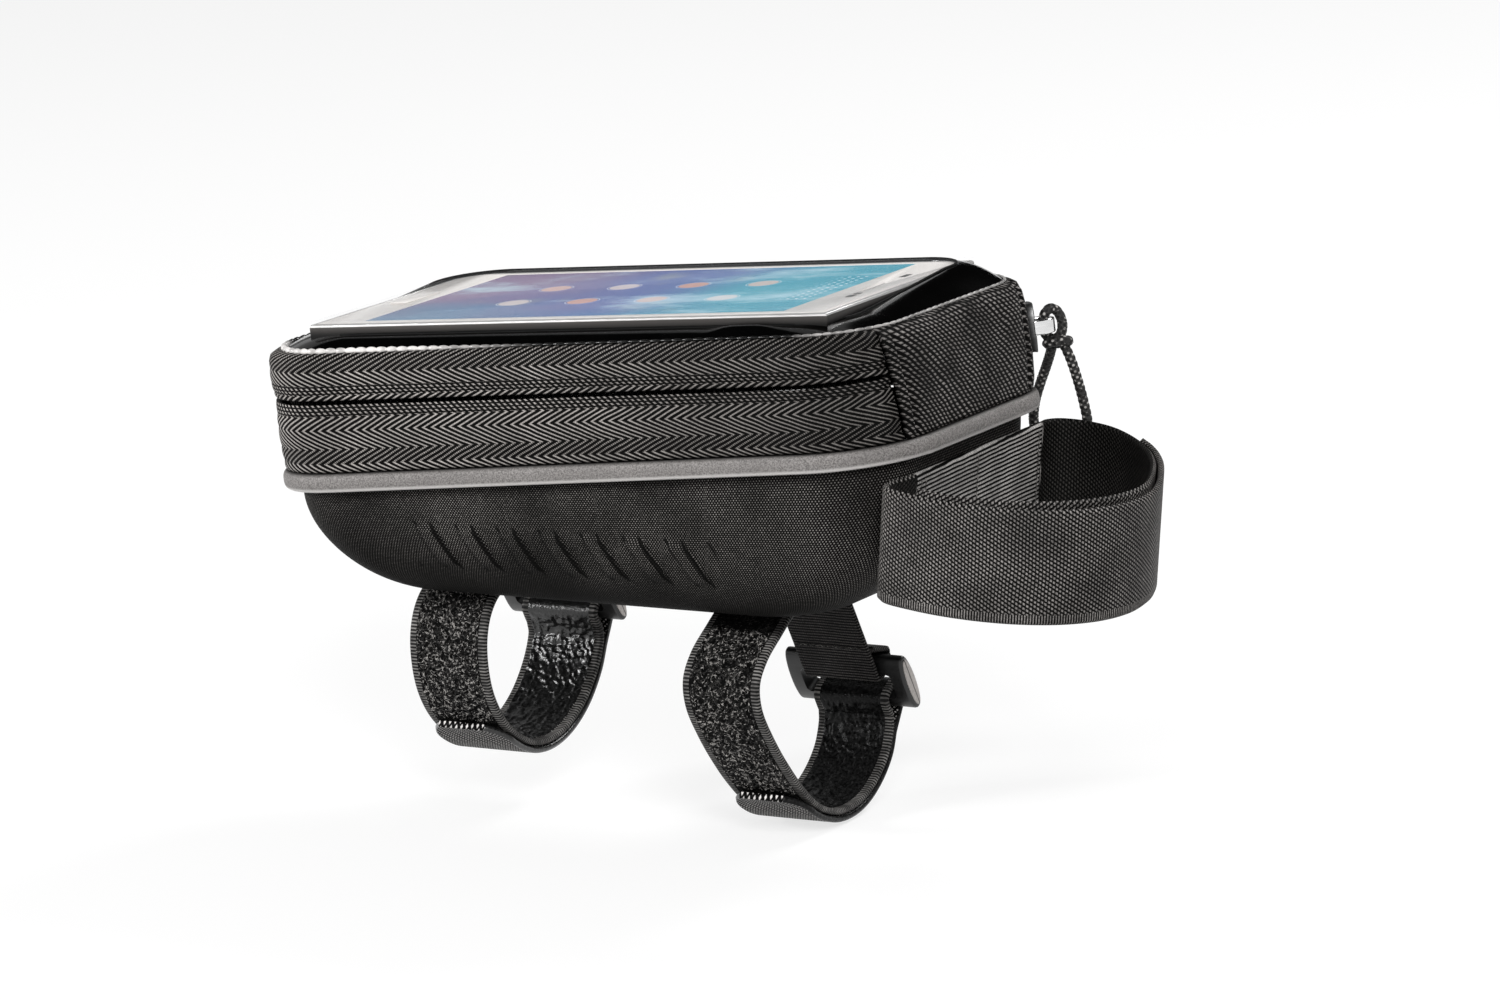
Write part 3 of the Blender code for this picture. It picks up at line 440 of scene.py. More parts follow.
def phone_front():
    """Warm white glass front with a very fine fleck."""
    finish = Finish("phone_front_white", (0.78, 0.75, 0.73), 0.16, Specular_IOR_Level=0.35)
    fleck = finish.noise(1.2, 2.0).ramp(0.45, 0.7)
    finish.paint(fleck, (0.84, 0.805, 0.775), (0.88, 0.85, 0.825))
    finish.rough(0.14 + finish.noise(0.3, 2.0) * 0.08)
    return finish.material


def phone_metal(name, color, roughness, metallic=1.0, shaded=False):
    """Brushed bright metal; the phone's rim gets painted shade where it sinks into the window."""
    finish = Finish(name, color, roughness, Metallic=metallic)
    x, y, z = finish.place()
    brushed = finish.noise(0.9, 2.0, at=(x * 0.3, y * 0.3, z * 6.0))
    tone = finish.mix(brushed, tuple(c * 0.75 for c in color), color)
    if shaded:
        # painted shade: the rim darkens to near-black the deeper it lies below the window's lip
        height = (z - 66.88) * 0.9976 - (x + 2.95) * 0.0698
        sunk_painted_shade = finish.mix(height.ramp(-2.7, -0.6), (0.004, 0.0037, 0.0035), (0.055, 0.05, 0.047))
        tone = finish.mix(height.ramp(-0.75, -0.5), sunk_painted_shade, tone)
    finish.color(tone)
    finish.rough(brushed * 0.15 + (roughness - 0.05))
    finish.bump(brushed, 0.02)
    return finish.material


def screen_picture():
    """A lit screen with a soft made-up sky, plain round marks on it, and a bar of dots."""
    finish = Finish("screen_glow", (0.1, 0.3, 0.45), 0.12, Specular_IOR_Level=0.3)
    x, y = finish.place()[:2]
    drift = finish.noise(0.020, 3.0, 0.55)
    cloud = finish.noise(0.030, 5.0, 0.6, at=(x * 0.6, y * 1.5, drift * 12.0))
    shift = x + drift * 60.0
    base = finish.mix(shift.ramp(-20.0, 22.0), (0.20, 0.14, 0.25), (0.07, 0.12, 0.33))
    base = finish.mix(shift.ramp(18.0, 62.0), base, (0.03, 0.30, 0.40))
    base = finish.mix((y * -0.6 + drift * 40.0).ramp(22.0, 44.0) * 0.6, base, (0.05, 0.27, 0.38))
    base = finish.mix(cloud.ramp(0.50, 0.74) * 0.85, base, (0.50, 0.68, 0.76))
    base = finish.mix(finish.noise(0.05, 3.0).ramp(0.58, 0.8) * 0.5, base, (0.30, 0.33, 0.28))
    column, line = (x + 3.0) / 18.5, (y + 1.0) / 19.0
    across = (column.fraction() - 0.5) * 18.5
    aside = (line.fraction() - 0.5) * 19.0
    reach = (across * across + aside * aside).power(0.5)
    disc = (1.0 - reach.ramp(3.3, 3.8)) * x.between(-40.0, 34.0, 0.3) * y.between(-20.0, 18.0, 0.3)
    pick = (column.floor() * 0.37 + line.floor() * 0.61).fraction()
    tint = finish.mix(pick, (0.62, 0.33, 0.22), (0.66, 0.70, 0.72))
    base = finish.mix(disc * 0.75, base, tint)
    ring = reach.between(3.9, 4.15, 0.08) * x.between(-40.0, 34.0, 0.3) * y.between(-20.0, 18.0, 0.3)
    base = finish.mix(ring * 0.5, base, (0.75, 0.8, 0.84))
    dots = (y / 2.4).wave().ramp(0.6, 0.9) * (x / 2.2).wave().ramp(0.6, 0.9) * x.between(42.0, 49.5, 0.4)
    base = finish.mix(dots * y.between(-16.0, 16.0, 0.3) * 0.6, base, (0.8, 0.84, 0.88))
    lines = (x / 0.9).wave() * 0.10
    base = finish.mix(lines, base, (0.02, 0.05, 0.1))
    finish.color(base)
    finish.tree.links.new(base, finish.shader.inputs["Emission Color"])
    finish.shader.inputs["Emission Strength"].default_value = 0.45
    return finish.material


def plain_plastic(name, dark, light, roughness, grain=1.5, **fixed):
    """Moulded plastic or metal paint with a fine grain, and wear in its tone."""
    finish = Finish(name, dark, roughness, **fixed)
    fine = finish.noise(grain, 3.0, 0.6)
    broad = finish.noise(0.12, 2.0)
    finish.paint(fine * 0.6 + broad * 0.5, dark, light)
    finish.rough(fine * 0.16 + (roughness - 0.06))
    finish.bump(fine, PLASTIC_DEPTH)
    return finish.material


def cap_plastic():
    """A buckle's pale grey end plate with a dark parting line along its middle."""
    finish = Finish("cap_grey", (0.4, 0.38, 0.37), 0.42, Metallic=0.7)
    grain = finish.noise(1.6, 3.0, 0.6)
    line = 1.0 - finish.cloth()[0].size().ramp(0.12, 0.24)
    shade = finish.mix(grain.ramp(0.3, 0.75), (0.34, 0.315, 0.30), (0.50, 0.47, 0.45))
    shade = finish.mix(line * 0.85, shade, (0.05, 0.048, 0.046))
    finish.color(shade)
    finish.rough(grain * 0.15 + 0.34)
    finish.bump(grain * 0.4 - line, 0.08)
    return finish.material


def braid():
    """Black cord: strands wind round it both ways, with pale flecks."""
    finish = Finish("braided_cord", grey(0.02), 0.6, Specular_IOR_Level=0.3)
    around, along = finish.cloth()
    one = (along / 1.5 + around / 1.885).wave()
    two = (along / 1.5 - around / 1.885).wave()
    fleck = (one * two).ramp(0.25, 0.8) * finish.noise(0.5, 1.0).ramp(0.45, 0.6)
    finish.paint(fleck + one.most(two) * 0.04, grey(0.003), (0.5, 0.48, 0.46))
    finish.bump(one.most(two), 0.14)
    return finish.material


def pile(name):
    """The ground of loop pile: a dark tangle with pale worm-like loops."""
    finish = Finish(name, grey(0.01), 0.7, Specular_IOR_Level=0.05)
    around, along = finish.cloth()
    bend = finish.noise(1.1, 3.0, at=(around, along)) * 3.0
    worms = finish.noise(1.7, 2.0, at=(around + bend, along * 1.2 - bend)) - 0.5
    line = 1.0 - (worms.size() * 18.0).least(1.0)
    tangle = line.ramp(0.3, 0.8) * finish.noise(0.8, 2.0).ramp(0.42, 0.58)
    finish.paint(tangle, grey(0.0015), (0.10, 0.096, 0.092))
    finish.bump(line * 0.6 + finish.noise(2.5, 2.0) * 0.4, 0.25)
    return finish.material


def pale_thread(name, dark, light):
    """Fine thread of loops and stitches, some strands paler than others."""
    finish = Finish(name, dark, 0.5, Specular_IOR_Level=0.3)
    strand = finish.noise(1.4, 2.0).ramp(0.46, 0.66)
    finish.paint(strand, dark, light)
    finish.rough(0.45 + strand * 0.1)
    finish.bump(finish.noise(6.0, 2.0), 0.05)
    return finish.material


def rubber(name, shine):
    """Pebbled rubber backing."""
    finish = Finish(name, grey(0.01), 0.3, Specular_IOR_Level=shine)
    fine = finish.noise(1.6, 3.0)
    finish.paint(fine.ramp(0.3, 0.8), grey(0.003), grey(0.02))
    finish.rough(0.13 + fine * 0.2)
    finish.bump(fine, 0.12)
    return finish.material


def hook_back():
    """The strap's folded end: diagonal dotted weave, its dots made pale partly as painted light on a face
    turned away from the lamps.
    """
    finish = Finish("dotted_weave", grey(0.02), 0.5, Specular_IOR_Level=0.05)
    along, up = finish.cloth()
    dots = ((along + up * 0.8) / 1.5).wave().ramp(0.4, 0.8)
    dots = dots * ((along - up * 1.7) / 1.3).wave().ramp(0.25, 0.7)
    # the dots are the weave's own pattern, painted paler as well to stand in for light on this face
    finish.paint(dots * (finish.noise(0.5, 2.0) + 0.5), grey(0.0015), (0.85, 0.82, 0.80))
    finish.bump(dots, 0.12)
    return finish.material


def webbing(name, pitch_around, pitch_along, lean, light):
    """The head loop's webbing: rows of short thread floats running across it, with ribbed selvedges."""
    finish = Finish(name, grey(0.02), 0.55, Specular_IOR_Level=0.05)
    around, along = finish.cloth()
    wander = finish.noise(0.06, 2.0, at=(around, along)) * 1.6
    row = (along / pitch_along + wander).floor()
    inside = (along / pitch_along + wander).fraction() - 0.5
    dash = (around / pitch_around + row * 0.5 + inside * lean).wave().ramp(0.18, 0.75)
    dash = dash * (1.0 - inside.size() * 2.0).ramp(0.08, 0.6)
    side = (around * (math.pi * MM / (HEAD_WIDTH * 2.0))).math("SINE").size()
    hem = 1.0 - (side - math.sin(math.pi / 2 * SELVEDGE / HEAD_WIDTH)).above(0.0)
    ribs = (along / 0.62).wave().ramp(0.3, 0.8)
    dash = dash * (1.0 - hem) + ribs * hem
    tone = finish.worn(0.09, 0.3, 0.7, 0.4, 0.6, detail=3.0)
    fuzz = finish.worn(2.6, 0.3, 0.7, 0.7, 0.45)
    finish.paint(dash * tone * fuzz, WEB_BLACK, light)
    finish.bump(dash, 0.16)
    return finish.material


def ribbed_webbing(name, light, lengthwise):
    """Webbing with fine ribs, along it or straight across it."""
    finish = Finish(name, grey(0.02), 0.55, Specular_IOR_Level=0.05)
    around, along = finish.cloth()
    wander = finish.noise(0.15, 2.0, at=(around, along)) * 0.5
    if lengthwise:
        ribs = (around - along * 0.03 + wander).wave().ramp(0.25, 0.8)
        cross = (along / 0.9 + around * 0.4).wave() * 0.3 + 0.7
    else:
        ribs = (along / 0.85 + wander).wave().ramp(0.3, 0.85)
        cross = (around / 0.6).wave() * 0.4 + 0.6
    tone = finish.worn(0.12, 0.3, 0.7, 0.35, 0.65, detail=3.0)
    fuzz = finish.worn(2.6, 0.3, 0.7, 0.5, 0.55)
    finish.paint(ribs * cross * tone * fuzz, WEB_BLACK, light)
    finish.bump(ribs, 0.14)
    return finish.material


# Meshes
def outline(half_length, half_width, radius, offset=0.0, front=None, arc=4.0, run=(40, 20)):
    """Points round a rounded rectangle, anticlockwise from above, starting at +X."""
    front = half_length if front is None else front
    signs = ((1, 1), (-1, 1), (-1, -1), (1, -1))

    def corner(quarter, angle):
        sign_x, sign_y = signs[quarter % 4]
        reach = front if sign_x > 0 else half_length
        turn = math.radians(angle)
        return (
            sign_x * (reach - radius) + (radius + offset) * math.cos(turn),
            sign_y * (half_width - radius) + (radius + offset) * math.sin(turn),
        )

    points = []
    steps = max(1, round(90 / arc))
    for quarter in range(4):
        points += [corner(quarter, 90 * quarter + 90 * step / steps) for step in range(steps + 1)]
        start, end = points[-1], corner(quarter + 1, 90 * (quarter + 1))
        count = run[quarter % 2]
        for step in range(1, count):
            share = step / count
            points.append((start[0] + (end[0] - start[0]) * share, start[1] + (end[1] - start[1]) * share))
    return np.array(points)


def flange_outline(offset, **how):
    return outline(*FLANGE, offset, **how)


def phone_outline(offset, **how):
    return outline(*PHONE, offset, **how)


def placed(points, matrix):
    """Points moved from a local frame to the part's frame, as an array."""
    points = np.asarray(points, float)
    m = np.array(matrix)
    return points @ m[:3, :3].T + m[:3, 3]


def lengths(points):
    """Distance travelled along a line of points, starting from 0."""
    steps = np.linalg.norm(np.diff(points, axis=0), axis=1)
    return np.concatenate([[0.0], np.cumsum(steps)])


def linked(name, data):
    """A new object in the scene."""
    piece = bpy.data.objects.new(name, data)
    bpy.context.scene.collection.objects.link(piece)
    return piece


def sheet_mesh(name, rows, closed=False, along=None, up=None, ends=(False, False)):
    """Quads through rows of points, with a UV map in metres along and up the cloth."""
    rows = np.asarray(rows, float)
    count, width = rows.shape[:2]
    if along is None:
        middle = rows[count // 2]
        along = lengths(np.vstack([middle, middle[:1]]) if closed else middle)
    if up is None:
        up = lengths(rows[:, 0])
    steps = width if closed else width - 1
    low = np.arange(count - 1)[:, None] * width + np.arange(steps)[None, :]
    after = np.arange(count - 1)[:, None] * width + (np.arange(steps)[None, :] + 1) % width
    faces = np.stack([low, after, after + width, low + width], axis=-1).reshape(-1, 4)
    u = np.stack([along[:steps], along[1:steps + 1], along[1:steps + 1], along[:steps]], axis=-1)
    u = np.broadcast_to(u, (count - 1, steps, 4)).reshape(-1)
    v = np.stack([up[:-1], up[:-1], up[1:], up[1:]], axis=-1)
    v = np.broadcast_to(v[:, None, :], (count - 1, steps, 4)).reshape(-1)
    faces = faces.tolist()
    caps = []
    if ends[0]:
        caps.append(list(range(width - 1, -1, -1)))
    if ends[1]:
        caps.append(list(range((count - 1) * width, count * width)))
    mesh = bpy.data.meshes.new(name)
    mesh.from_pydata(rows.reshape(-1, 3).tolist(), [], faces + caps)
    layer = mesh.uv_layers.new(name="cloth")
    flat = np.stack([u, v], axis=-1)
    for cap in caps:
        flat = np.vstack([flat, rows.reshape(-1, 3)[cap][:, :2]])
    layer.data.foreach_set("uv", flat.astype(np.float32).ravel())
    mesh.update()
    piece = linked(name, mesh)
    piece.data.shade_smooth()
    return piece


def only(piece):
    """Select one piece and nothing else."""
    bpy.ops.object.select_all(action="DESELECT")
    piece.select_set(True)
    bpy.context.view_layer.objects.active = piece


def modify(piece, kind, **settings):
    """Add a modifier and apply it at once."""
    modifier = piece.modifiers.new(kind.lower(), kind)
    for key, value in settings.items():
        setattr(modifier, key, value)
    only(piece)
    bpy.ops.object.modifier_apply(modifier=modifier.name)


def round_edges(piece, width, segments=3, degrees=50):
    modify(
        piece, "BEVEL", width=width, segments=segments, limit_method="ANGLE",
        angle_limit=math.radians(degrees),
    )


def smooth_by_angle(piece, degrees):
    only(piece)
    bpy.ops.object.shade_smooth_by_angle(angle=math.radians(degrees))


def thicken(piece, thickness, offset=-1.0, inner=0, rim=0):
    modify(
        piece, "SOLIDIFY", thickness=thickness, offset=offset, use_even_offset=True,
        material_offset=inner, material_offset_rim=rim,
    )


def dress(piece, materials, body, replaced=()):
    """Give a piece its finishes, the body it rides on, and the CAD nodes it stands for."""
    for material in materials if isinstance(materials, (list, tuple)) else [materials]:
        piece.data.materials.append(material)
    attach(piece, body)
    if replaced:
        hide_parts(*replaced)
    return piece


def smooth_route(points, spacing):
    """Evenly spaced points on one smooth curve through a route's points."""
    points = [Vector(p) for p in points]
    padded = [2 * points[0] - points[1], *points, 2 * points[-1] - points[-2]]
    fine = []
    for index in range(1, len(padded) - 2):
        before, start, end, after = padded[index - 1:index + 3]
        for part in range(16):
            t = part / 16
            fine.append(0.5 * (
                2 * start + (end - before) * t
                + (2 * before - 5 * start + 4 * end - after) * t ** 2
                + (3 * start - before - 3 * end + after) * t ** 3
            ))
    fine.append(points[-1])
    fine = np.array(fine)
    travelled = lengths(fine)
    pieces = max(2, round(travelled[-1] / spacing))
    wanted = np.linspace(0, travelled[-1], pieces + 1)
    return np.stack([np.interp(wanted, travelled, fine[:, axis]) for axis in range(fine.shape[1])], axis=1)


def rights_of(points):
    """The direction to the right of travel at each point of a flat route."""
    along = np.gradient(points, axis=0)
    along /= np.linalg.norm(along, axis=1)[:, None]
    return np.stack([along[:, 1], -along[:, 0]], axis=1)


# Shell, piping and gusset
def gusset_top(x):
    share = (x + FLANGE[0]) / (2 * FLANGE[0])
    return GUSSET_TOPS[0] + (GUSSET_TOPS[1] - GUSSET_TOPS[0]) * share


def make_shell(weave, lining):
    """The moulded shell, with slanted ribs pressed out of its near side."""
    half_length, half_width = FLANGE[0] - SHELL_INSET, FLANGE[1] - SHELL_INSET
    rim_radius = FLANGE[2] - SHELL_INSET
    rear_run, front_run, side_run = half_length + SEAT[0], half_length - SEAT[1], half_width - SEAT[2]
    rings = 60
    rows = []
    for ring in range(rings + 1):
        depth = math.sin(math.radians(90) * ring / rings)
        left = 1 - depth * depth
        rear = half_length - rear_run * (1 - left ** ROUNDING[0])
        front = half_length - front_run * (1 - left ** ROUNDING[1])
        side = half_width - side_run * (1 - left ** ROUNDING[2])
        radius = rim_radius + (SEAT[3] - rim_radius) * depth ** 3
        flat = outline(rear, side, radius, front=front, arc=3.0, run=(320, 60))
        top = (SHELL_DEPTH + flat[:, 0] * math.tan(SHELL_PITCH)) * (1 - depth)
        x = flat[:, 0] * ((1 - depth) * math.cos(SHELL_PITCH) + depth)
        rows.append(np.stack([x, flat[:, 1], top], axis=1))
    rise = PIPING[0] - GAP
    rows.insert(0, rows[0] + np.array([-rise * math.sin(SHELL_PITCH), 0, rise * math.cos(SHELL_PITCH)]))
    rows = np.array(rows[::-1])
    rows = rows + ribs(rows)[..., None] * np.array([0.0, -1.0, 0.0])
    piece = sheet_mesh("moulded_shell", rows, closed=True, up=lengths(rows[:, 60]), ends=(True, False))
    thicken(piece, SHELL_WALL, inner=1, rim=1)
    return dress(piece, [weave, lining], "base", ["base_shell"])


def ribs(rows):
    """How far each point of the shell's near side stands proud, for a row of slanted pressed ribs."""
    x, y, z = rows[..., 0] / MM, rows[..., 1] / MM, rows[..., 2] / MM
    height = np.zeros(x.shape)
    for index in range(7):
        middle = -37 + 11.0 * index
        lean = x - middle + 0.55 * (z - 13.0)
        across = np.clip(1 - (np.abs(lean) / 2.7), 0, 1)
        ends = np.clip((z - 8.0) / 1.5, 0, 1) * np.clip((18.5 - z) / 1.5, 0, 1)
        height = np.maximum(height, np.clip(across * 3.0, 0, 1) * ends)
    smooth = height * height * (3 - 2 * height)
    return smooth * (y < -20) * 1.2 * MM


def make_piping(band):
    """The reflective band, one rounded strip round the flange whose ends overlap at the front."""
    high, deep = PIPING
    profile = []
    for angle in np.linspace(-90, 90, 17):
        turn = math.radians(angle)
        profile.append((
            -1.5 * MM + 1.5 * MM * math.copysign(abs(math.cos(turn)) ** 0.75, math.cos(turn)),
            high / 2 + high / 2 * math.copysign(abs(math.sin(turn)) ** 0.8, math.sin(turn)),
        ))
    profile = [(-deep, 0.15 * MM), *profile, (-deep, high - 0.15 * MM)]
    rows = []
    for offset, height in profile:
        flat = flange_outline(offset, arc=3.0, run=(90, 30))
        rows.append(np.column_stack([flat, np.full(len(flat), height)]))
    rows = np.array(rows + rows[:1])
    direction = np.arctan2(rows[8][:, 1], rows[8][:, 0] - 0.05)
    overlap = (direction > -0.62) & (direction < 1.2)
    outward = np.zeros_like(rows)
    outward[:, :, 0] = overlap[None, :] * (rows[:, :, 0] > 0.08) * 0.35 * MM
    rows = placed(rows + outward, BAG)
    piece = sheet_mesh("reflective_piping_band", rows, closed=True)
    weld(piece)
    return dress(piece, band, "base", ["reflective_piping"])


def weld(piece):
    """Merge doubled points and point the faces outwards."""
    only(piece)
    bpy.ops.object.mode_set(mode="EDIT")
    bpy.ops.mesh.select_all(action="SELECT")
    bpy.ops.mesh.remove_doubles(threshold=1e-6)
    bpy.ops.mesh.normals_make_consistent(inside=False)
    bpy.ops.object.mode_set(mode="OBJECT")


def pillow(up, edges, height):
    """A soft swelling between each pair of edges, in metres, for heights in metres."""
    result = np.zeros(len(up))
    for low, high in edges:
        share = np.clip((up / MM - low) / (high - low), 0, 1)
        result += height * np.sin(np.pi * share) ** 0.6
    return result


def rim_line():
    """Points and outward directions round the gusset's rim from its far front corner, and distances."""
    flat = flange_outline(-GUSSET_INSET, arc=1.0, run=(200, 80))
    ahead = np.roll(flat, -1, axis=0) - np.roll(flat, 1, axis=0)
    ahead /= np.linalg.norm(ahead, axis=1)[:, None]
    whole = np.column_stack([flat, ahead[:, 1], -ahead[:, 0]])
    whole = np.vstack([whole, whole[:1]])
    return whole, lengths(whole[:, :2])


RIM, RIM_ALONG = rim_line()
RIM_LENGTH = RIM_ALONG[-1]


def rim_at(distance, offset):
    """Points at distances along the rim, moved outward."""
    place = [np.interp(np.mod(distance, RIM_LENGTH), RIM_ALONG, RIM[:, column]) for column in range(4)]
    return np.stack([place[0] + place[2] * offset, place[1] + place[3] * offset], axis=-1)


def zip_line(x):
    """Height of the zip, which climbs a little towards the rear."""
    return ZIP_LINE + 1.9 * MM * np.clip((62 * MM - x) / (146 * MM), 0, 1)


def seams_at(height):
    """Distances along the rim of the far and the near seam beside the front panel; the seams lean."""
    share = (height - FOOT) / (gusset_top(60 * MM) - FOOT)
    angle = math.radians(SEAM_ANGLES[0] + (SEAM_ANGLES[1] - SEAM_ANGLES[0]) * share)
    reach = (FLANGE[2] - GUSSET_INSET) * angle
    return reach, RIM_LENGTH - 2 * (FLANGE[1] - FLANGE[2]) - reach


def crumple(distance, height):
    """Slow soft waves of a fabric wall, in metres."""
    a, b = distance / MM, height / MM
    waves = np.sin(a / 9.1 + 1.1 + b / 7.0) + np.sin(a / 5.3 - b / 5.0) * 0.8
    return 0.10 * MM * (waves + np.sin(a / 17.0 + b / 9.0 + 2.0) * 1.4)


def tape_relief(distance, height, gap):
    """Waves, the pull of the seams at both ends, and the folds that run into them."""
    reach = gap / MM
    fold = np.exp(-reach / 17.0) * np.sin(reach / 1.35 + 1.6 * np.sin(height / MM / 4.2) + height / MM / 2.6)
    folds = 0.60 * MM * fold * (distance > 150 * MM) * (1 - np.exp(-(reach / 3.0) ** 2))
    return crumple(distance, height) + folds - 1.15 * MM * np.exp(-(reach / 2.4) ** 2)


def panel_relief(distance, height, gap):
    """Waves, and a raised hem with a groove beside it along each side seam."""
    reach = gap / MM
    hem = np.clip(1 - (reach / 2.9) ** 6, 0, 1) * 0.60 - 0.60 * np.exp(-((reach - 3.4) / 0.6) ** 2)
    return crumple(distance, height) + hem * MM


def make_wall(name, shares, low, high, thickness, front, relief, bands, roll, materials, body, replaced):
    """A fabric wall on the rim between the heights low(x) and high(x)."""
    columns = 150 if front else 700
    middle = 60 * MM
    mean = float(np.mean(high(RIM[:, 0]) - low(RIM[:, 0])))
    swells = pillow(shares * mean, bands, 0.22 * MM)
    rows = []
    for share, swell in zip(shares, swells):
        level = low(middle) + (high(middle) - low(middle)) * share
        far, near = seams_at(level)
        start, end = (near - RIM_LENGTH, far - GAP) if front else (far, near - GAP)
        start, end = start + GAP / 2, end + GAP / 2
        distance = np.linspace(start, end, columns)
        base = rim_at(distance, 0.0)
        height = low(base[:, 0]) + (high(base[:, 0]) - low(base[:, 0])) * share
        if roll:
            offset = np.interp(share, (0, 0.33, 0.65, 0.78, 0.90, 0.975, 1.0), (
                0, GUSSET_BULGE, GUSSET_BULGE * 0.55, 0.2 * GUSSET_BULGE, -0.12 * roll, -0.5 * roll, -roll,
            ))
        else:
            offset = GUSSET_BULGE * math.sin(math.pi * share)
        calm = np.clip(min(share, 1 - share) * 9, 0, 1)
        extra = relief(distance, height, np.minimum(distance - start, end - distance)) * (0.35 + 0.65 * calm)
        ease = 1.0 if front else 0.2 + 0.8 * np.clip((distance - 36 * MM) / (18 * MM), 0, 1)
        rows.append(np.column_stack([rim_at(distance, offset + (swell + extra) * ease), height]))
    distance = np.linspace(0, (RIM_LENGTH - near + far) if front else near - far, columns)
    piece = sheet_mesh(name, placed(rows, BAG), along=distance, up=shares * mean)
    thicken(piece, thickness, inner=1, rim=1)
    dress(piece, materials, body, replaced)
    return piece


LOWER_BANDS = ((0.0, 1.9, 1), (1.9, 5.2, -1), (5.2, 9.4, 1), (9.4, 12.3, -1), (12.3, 15.5, 1))
UPPER_BANDS = (
    (0.0, 1.2, -1), (1.2, 3.4, 1), (3.4, 6.5, 1), (6.5, 10.4, -1), (10.4, 14.3, 1), (14.3, 20.0, -1),
)


def make_coil(name, side, nylon, body, node):
    """The zip's coil, a fine nylon wire wound along the tape's edge behind the cloth."""
    pitch = 1.5 * MM
    far, near = seams_at(ZIP_LINE)
    turns = int((near - far - 5 * MM) / pitch)
    phase = np.arange(turns * 12 + 1) / 12
    distance = far + 2.2 * MM + (phase + (0.5 if side > 0 else 0.0)) * pitch
    flat = rim_at(distance, -3.75 * MM - 0.55 * MM * np.sin(2 * math.pi * phase))
    height = zip_line(flat[:, 0]) + side * (0.95 - 0.95 * np.cos(2 * math.pi * phase)) * MM
    piece = tube(name, placed(np.column_stack([flat, height]), BAG), 0.24 * MM, sides=5)
    dress(piece, nylon, body, [node])


def make_zip_stop(name, seam, nylon):
    """The moulded block behind one end of the zip."""
    distance = np.linspace(seam - 4.5 * MM, seam + 4.5 * MM, 13)
    rows = []
    for height in np.linspace(-4.2, 4.2, 9):
        flat = rim_at(distance, -5.1 * MM)
        rows.append(np.column_stack([flat, zip_line(flat[:, 0]) + height * MM]))
    piece = sheet_mesh(name, placed(rows, BAG))
    thicken(piece, 0.9 * MM)
    round_edges(piece, 0.25 * MM)
    dress(piece, nylon, "base", ())


def make_gusset(inside, weave, nylon):
    lower = herringbone("herringbone_lower", LOWER_BANDS, ((1.9, 5.2),), ((12.5, 15.5),))
    upper = herringbone("herringbone_upper", UPPER_BANDS, ((6.5, 10.4), (14.3, 20.0)), ((1.2, 3.4),))
    lower_shares = np.linspace(0, 1, 33)
    upper_shares = np.concatenate([np.linspace(0, 0.88, 30), np.linspace(0.89, 1.0, 14)])

    def foot(x):
        return FOOT + 0.0 * x

    make_wall(
        "lower_tape", lower_shares, foot, lambda x: zip_line(x) - HALF_SLIT, TAPE_THICK, False, tape_relief,
        [b[:2] for b in LOWER_BANDS], 0.0, [lower, inside], "base", ["lower_zip_tape"],
    )
    make_wall(
        "upper_tape", upper_shares, lambda x: zip_line(x) + HALF_SLIT, gusset_top, TAPE_THICK, False,
        tape_relief,
        [b[:2] for b in UPPER_BANDS[:-1]], GUSSET_ROLL, [upper, inside], "lid", ["upper_zip_tape"],
    )
    make_wall(
        "front_fabric_panel", upper_shares, foot, gusset_top, 1.5 * MM, True, panel_relief,
        [(0.0, 26.0)], GUSSET_ROLL, [weave, inside], "base", ["front_panel"],
    )
    make_coil("lower_coil_wire", -1, nylon, "base", "lower_coil")
    make_coil("upper_coil_wire", 1, nylon, "lid", "upper_coil")
    for name, seam in zip(("zip_stop_far", "zip_stop_near"), seams_at(ZIP_LINE)):
        make_zip_stop(name, seam, nylon)


def lip_height(y, rise):
    """Height of the window's lip over the phone's face: low on the near side, high on the far side."""
    return LIP_LOW + rise * np.clip(0.5 + y / LIP_RUN, 0, 1)


def bead(name, line, matrix, finish):
    """A bead round the window; line gives its points at one angle round the section."""
    rows = [line(angle) for angle in np.linspace(0, 2 * math.pi, 9)[:-1]]
    piece = sheet_mesh(name, placed(rows + rows[:1], matrix), closed=True)
    weld(piece)
    dress(piece, finish, "lid", ())


